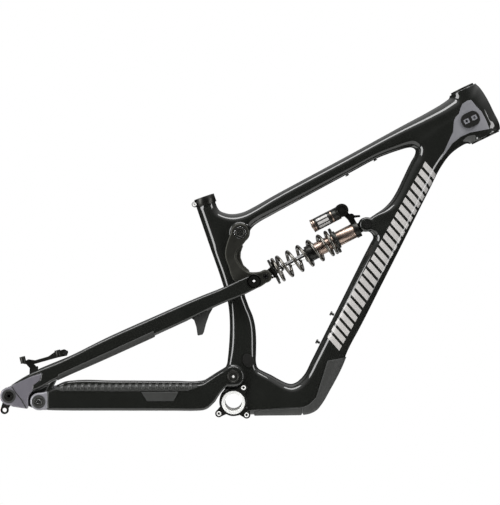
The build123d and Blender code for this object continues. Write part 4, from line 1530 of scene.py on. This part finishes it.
@dataclass
class PivotCaps:
    """The caps over the pivots, and the rings and plugs about them, with a dark ring and dark discs that paint
    the shade in the Horst bolts' groove and in the pivot sockets.
    """

    boss_circle: float = 36.5
    boss_angles: tuple[float, float, float] = (55.5, 217.3, 317.4)
    flats: int = 64

    def build(self) -> list[bpy.types.Object]:
        """Make every cap.

        Returns:
            The caps.
        """
        front, stay = "front_frame", "seatstay_assembly"
        rows = [
            ("main_pivot_cap", MAIN_PIVOT, 42.4, 12.5, 2.2, 4.4, 0.72, 3.0, front, "pivot_end_caps"),
            ("rocker_pivot_cap", ROCKER_PIVOT, 32.4, 10.0, 2.0, 3.4, 0.72, 0.0, front, "pivot_end_caps"),
            ("horst_bolt_head", HORST_PIVOT, 82.4, 9.0, 1.8, 3.2, 0.7, 0.0, stay, "horst_bolts"),
            ("stay_pivot_cap", STAY_PIVOT, 44.0, 14.2, 1.6, 4.6, 0.74, 3.0, stay, None),
        ]
        pieces = []
        for *cap, body, node in rows:
            for piece in PivotCap(*cap).build(body):
                if node:
                    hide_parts(node)
                pieces.append(piece)
        rings = [
            # horst_groove_painted_shade: a dark rubber ring round each Horst bolt head, painted shade of the
            # groove there
            ("horst_groove_painted_shade", HORST_PIVOT, "chainstay_assembly", 82.0, 13.4, 9.6, 1.1, 0.1, RUBBER),
            ("axle_seal", REAR_AXLE, stay, 83.0, 13.6, 9.9, 1.1, 0.1, RUBBER),
            ("main_axle_end", MAIN_PIVOT, front, 42.3, 2.5, 0.0, 0.9, 0.15, MACHINED),
            # rocker_socket_painted_shade and horst_socket_painted_shade: dark gloss discs in the socket
            # floors, painted shade of the sockets
            ("rocker_socket_painted_shade", ROCKER_PIVOT, front, 32.7, 3.3, 0.0, 0.6, 0.15, GLOSS_NYLON),
            ("horst_socket_painted_shade", HORST_PIVOT, stay, 82.7, 3.1, 0.0, 0.7, 0.15, GLOSS_NYLON),
            ("horst_bolt_ring", HORST_PIVOT, stay, 83.2, 5.0, 3.9, 0.7, 0.15, BEARING_STEEL),
        ]
        for name, place, body, base, outer, inner, proud, ease, finish in rings:
            for side, word in SIDES:
                profile = [(-0.4, inner), (-0.4, outer), (proud, outer), (proud, inner)]
                start = (place[0], side * base, place[1])
                ring = turned(f"{name}_{word}", profile, start, (0, side, 0), finish, ease, self.flats)
                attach(ring, body)
                pieces.append(ring)
        return pieces + self.boss_plugs()

    def boss_plugs(self) -> list[bpy.types.Object]:
        """The dark plugs in the threads of the chain-guide mount."""
        plugs = []
        for k, angle in enumerate(self.boss_angles):
            x, z = arc((0.0, 0.0), self.boss_circle, angle, angle, 1)[0]
            profile = [(-3.0, 0.0), (-3.0, 2.5), (-0.5, 2.5), (-0.5, 0.0)]
            plugs.append(
                turned(f"guide_boss_plug_{k + 1}", profile, (x, -36.5, z), (0, -1, 0), BLACK_STEEL, 0.2, 32)
            )
            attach(plugs[-1], "front_frame")
        return plugs


# ---------------------------------------------------------------- the shock


@dataclass
class CoilSpring(SubAssembly):
    """The shock's coil, which rides on the body side of the shock."""

    body: str = "shock_body_side"
    radius: float = 24.2
    wire: float = 3.2
    turns: float = 6.88
    first: float = 25.3
    last: float = 152.7
    closed_pitch: float = 6.6
    start_turn: float = -0.263
    seat: float = 156.0
    keep: float = 0.515

    def made(self) -> list[bpy.types.Object]:
        """The wound wire."""
        t = np.linspace(0, self.turns, int(self.turns * 40))

        def rise(u: np.ndarray) -> np.ndarray:
            """A smooth step from the closed coils to the open ones."""
            u = np.clip((u - 0.6) / 0.8, 0, 1)
            return u * u * (3 - 2 * u)

        opening = rise(t) * rise(self.turns - t)
        open_turns = float(np.sum((opening[1:] + opening[:-1]) / 2 * np.diff(t)))
        extra = (self.last - self.first - self.closed_pitch * self.turns) / open_turns
        pitch = self.closed_pitch + extra * opening
        along = self.first + np.concatenate([[0], np.cumsum((pitch[1:] + pitch[:-1]) / 2 * np.diff(t))])
        angle = 2 * np.pi * (t + self.start_turn)
        x, z = shock_point(along, self.radius * np.cos(angle))
        line = np.column_stack([x, -self.radius * np.sin(angle), z])
        coil = swept("wound_coil_spring", line, self.wire, LACQUER, 18)
        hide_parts("coil_spring")
        return [coil]

    def build(self) -> list[bpy.types.Object]:
        """Make the coil and give it a mesh of its own."""
        pieces = super().build()
        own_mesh(pieces[0])
        return pieces


@dataclass
class ShockLabels(SubAssembly):
    """The pale wrap and the bronze bands on the shock's reservoir."""

    body: str = "shock_body_side"
    above: float = 46.7
    radius: float = 13.0
    bands: tuple = ((135.0, 138.0), (174.0, 176.5))
    wrap: tuple[float, float] = (141.0, 170.0)
    stripes: int = 3
    first_angle: float = -52.0
    stripe_pitch: float = 36.0
    stripe_angle: float = 24.0

    def sleeve(self, name: str, start: float, end: float, proud: float, finish: Finish) -> bpy.types.Object:
        """A thin sleeve round the reservoir.

        Args:
            name: the piece's name.
            start: where it begins along the shock.
            end: where it ends.
            proud: how far it stands out.
            finish: what it is made of.

        Returns:
            The sleeve.
        """
        x, z = shock_point(start, self.above)
        profile = [(0, self.radius - 0.3), (0, self.radius + proud), (end - start, self.radius + proud),
                   (end - start, self.radius - 0.3)]
        return turned(name, profile, (x, 0.0, z), tuple(SHOCK_AXIS), finish, 0.1, 64)

    def stripe(self, number: int, low: float) -> bpy.types.Object:
        """A pale stripe along the wrap, on the drive side.

        Args:
            number: its number from the bottom.
            low: the angle of its lower edge, in degrees from the drive side.

        Returns:
            The stripe.
        """
        angles = np.radians(np.linspace(low, low + self.stripe_angle, 7))
        along = np.linspace(self.wrap[0] + 2, self.wrap[1] - 3, 9)[:, None]
        layers = []
        for radius in (self.radius + 0.4, self.radius - 0.2):
            x, z = shock_point(along, self.above + radius * np.sin(angles)[None, :])
            y = np.broadcast_to(-radius * np.cos(angles), x.shape)
            layers.append(np.stack([x, y, z], -1))
        return film(f"reservoir_stripe_{number}", [layers], DECAL_FILM)

    def made(self) -> list[bpy.types.Object]:
        """The bands and the wrap."""
        pieces = [self.sleeve("reservoir_wrap", *self.wrap, 0.15, GLOSS_NYLON)]
        for k in range(self.stripes):
            pieces.append(self.stripe(k + 1, self.first_angle + k * self.stripe_pitch))
        for k, (start, end) in enumerate(self.bands):
            pieces.append(self.sleeve(f"reservoir_band_{k + 1}", start, end, 0.3, BRONZE))
        return pieces


# ---------------------------------------------------------------- the studio


@dataclass
class Softbox:
    """One rectangular soft light."""

    name: str
    at: tuple[float, float, float]
    size: tuple[float, float]
    power: float
    look: tuple[float, float, float] = (0.03, 0.0, 0.3)

    def build(self) -> None:
        """Hang the light and turn it to the frame."""
        light = bpy.data.lights.new(self.name, "AREA")
        light.shape = "RECTANGLE"
        light.size, light.size_y = self.size
        light.energy = self.power
        lamp = bpy.data.objects.new(self.name, light)
        lamp.location = self.at
        lamp.rotation_mode = "QUATERNION"
        lamp.rotation_quaternion = (Vector(self.look) - Vector(self.at)).to_track_quat("-Z", "Y")
        bpy.context.scene.collection.objects.link(lamp)


@dataclass
class Studio:
    """The plain pale floor, the soft lights and the camera."""

    lens: float = 119.1
    sensor: float = 36.0
    camera_at: tuple[float, float, float] = (0.0336, -3.4, 0.3023)
    floor_radius: float = 1150.0
    floor_height: float = -450.0
    horizon: float = 0.02
    zenith: float = 1.1
    softboxes: list[Softbox] = field(
        default_factory=lambda: [
            Softbox("overhead", (0.0, -1.15, 2.8), (3.4, 0.9), 110),
            Softbox("left", (-2.7, -1.5, 0.4), (1.3, 2.8), 120),
            Softbox("right", (2.9, -1.7, 0.4), (1.0, 2.8), 80),
        ]
    )

    def world(self) -> None:
        """A white surround for the camera, and a soft sky for every other ray."""
        world = bpy.data.worlds.new("studio")
        bpy.context.scene.world = world
        world.use_nodes = True
        tree = world.node_tree
        tree.nodes.clear()
        seen = add_node(tree, "ShaderNodeBackground", None, {"Color": (1, 1, 1, 1), "Strength": 1.0})
        place = add_node(tree, "ShaderNodeTexCoord").outputs["Generated"]
        height = add_node(tree, "ShaderNodeSeparateXYZ", None, {"Vector": place}).outputs["Z"]
        sky = add_node(
            tree,
            "ShaderNodeMapRange",
            {"interpolation_type": "SMOOTHSTEP"},
            {
                "Value": height,
                "From Min": 0.2,
                "From Max": 0.95,
                "To Min": self.horizon,
                "To Max": self.zenith,
            },
        )
        soft = {"Color": (1, 1, 1, 1), "Strength": sky.outputs["Result"]}
        lit = add_node(tree, "ShaderNodeBackground", None, soft)
        ray = add_node(tree, "ShaderNodeLightPath").outputs["Is Camera Ray"]
        mix = add_node(tree, "ShaderNodeMixShader", None, {0: ray, 1: lit.outputs[0], 2: seen.outputs[0]})
        add_node(tree, "ShaderNodeOutputWorld", None, {"Surface": mix.outputs[0]})

    def floor(self) -> bpy.types.Object:
        """A round pale sheet below the frame."""
        ring = arc((0.0, 0.0), self.floor_radius, 0, 355, 71)
        points = [(30 + x, y, self.floor_height) for x, y in ring]
        sheet = solid("pale_floor", np.array(points), [list(range(len(points)))], FLOOR)
        return sheet

    def camera(self) -> None:
        """A long lens, square to the side plane."""
        data = bpy.data.cameras.new("camera")
        data.lens = self.lens
        data.sensor_width = self.sensor
        holder = bpy.data.objects.new("camera", data)
        holder.location = self.camera_at
        holder.rotation_euler = (math.radians(90), 0, 0)
        bpy.context.scene.collection.objects.link(holder)
        bpy.context.scene.camera = holder

    def build(self) -> list[bpy.types.Object]:
        """Set up everything round the frame."""
        bpy.context.scene.view_settings.view_transform = "Standard"
        self.world()
        for softbox in self.softboxes:
            softbox.build()
        self.camera()
        return [self.floor()]


# ---------------------------------------------------------------- the whole


# the small CAD pieces of each body, with their finish and the softness of their edges where it is stated
FITTINGS = {
    "front_frame": [
        ("bb_shell", MACHINED), ("iscg_plate", BLACK_ANODISED), ("iscg_inserts", MACHINED),
        ("upper_headset_cup", BLACK_ANODISED), ("lower_headset_cup", BLACK_ANODISED),
        ("head_badge", MACHINED), ("cable_port_covers", GLOSS_NYLON, 0.6),
        ("cable_port_grommets", PANEL_PAINT, 0.3), ("cable_port_screws", BLACK_STEEL, 0.2),
        ("mast_cable_grommets", GLOSS_NYLON, 0.6), ("bottle_and_tool_bolts", BLACK_STEEL),
        ("seat_clamp", BLACK_ANODISED, 0.3), ("seat_clamp_bolt", MACHINED), ("main_pivot_axle", MACHINED),
        ("rocker_pivot_axle", BLACK_STEEL), ("shock_mount_bolt", BLACK_STEEL),
    ],
    "chainstay_assembly": [("main_pivot_bearings", BEARING_STEEL), ("horst_bearings", BEARING_STEEL)],
    "seatstay_assembly": [
        ("stay_fins", RUBBER, 0.8), ("dropout_insert", BLACK_ANODISED),
        ("derailleur_hanger", BLACK_ANODISED, 0.8), ("hanger_bolt", BLACK_ANODISED),
        ("stay_pivot_bolts", BLACK_ANODISED, 0.0), ("horst_nuts", BLACK_ANODISED),
        ("brake_mount", BLACK_ANODISED, 0.7), ("brake_mount_bolts", BLACK_STEEL),
    ],
    "rocker_assembly": [
        ("rocker_pivot_bearings", BEARING_STEEL), ("stay_pivot_bearings", BEARING_STEEL),
        ("rocker_cross_axle", BLACK_ANODISED), ("rear_shock_screws", BLACK_STEEL, 0.5),
    ],
    "shock_body_side": [
        ("shock_body", BRONZE), ("seal_head", BLACK_ANODISED), ("shock_head", BLACK_ANODISED, 0.6),
        ("reservoir_tube", BLACK_ANODISED), ("reservoir_cap", BRONZE, 0.6),
        ("reservoir_floating_piston", MACHINED), ("front_eyelet_bush", BLACK_STEEL),
        ("high_speed_dial", BRONZE),
    ],
    "shock_shaft_side": [
        ("shock_shaft", CHROME, 0.2), ("bump_stop", RUBBER, 1.0),
        ("spring_retainer", BLACK_ANODISED, 0.6), ("lower_eyelet", BLACK_ANODISED, 0.6),
        ("rear_eyelet_bush", BLACK_STEEL),
    ],
    "rear_axle_body": [("rear_axle", BLACK_ANODISED)],
    "preload_collar_body": [("preload_collar", BLACK_ANODISED)],
    "climb_lever_body": [("climb_lever", BLACK_ANODISED)],
    "compression_knob_body": [("compression_knob", BLACK_ANODISED)],
    "rebound_knob_body": [("rebound_knob", BRONZE, 0.2)],
}


def main() -> None:
    """Build everything in order and report each piece."""
    logging.basicConfig(level=logging.INFO, format="%(name)s: %(message)s")
    parts = [FrontTriangle(), Chainstay(), Seatstay(), RockerLink(), PivotCaps(), CoilSpring(), ShockLabels()]
    parts += [SubAssembly(body, [Dressed(*row) for row in rows]) for body, rows in FITTINGS.items()]
    parts.append(Studio())
    for part in parts:
        for piece in part.build():
            LOG.info("%s: %d faces", piece.name, len(piece.data.polygons))


if __name__ == "__main__":
    main()
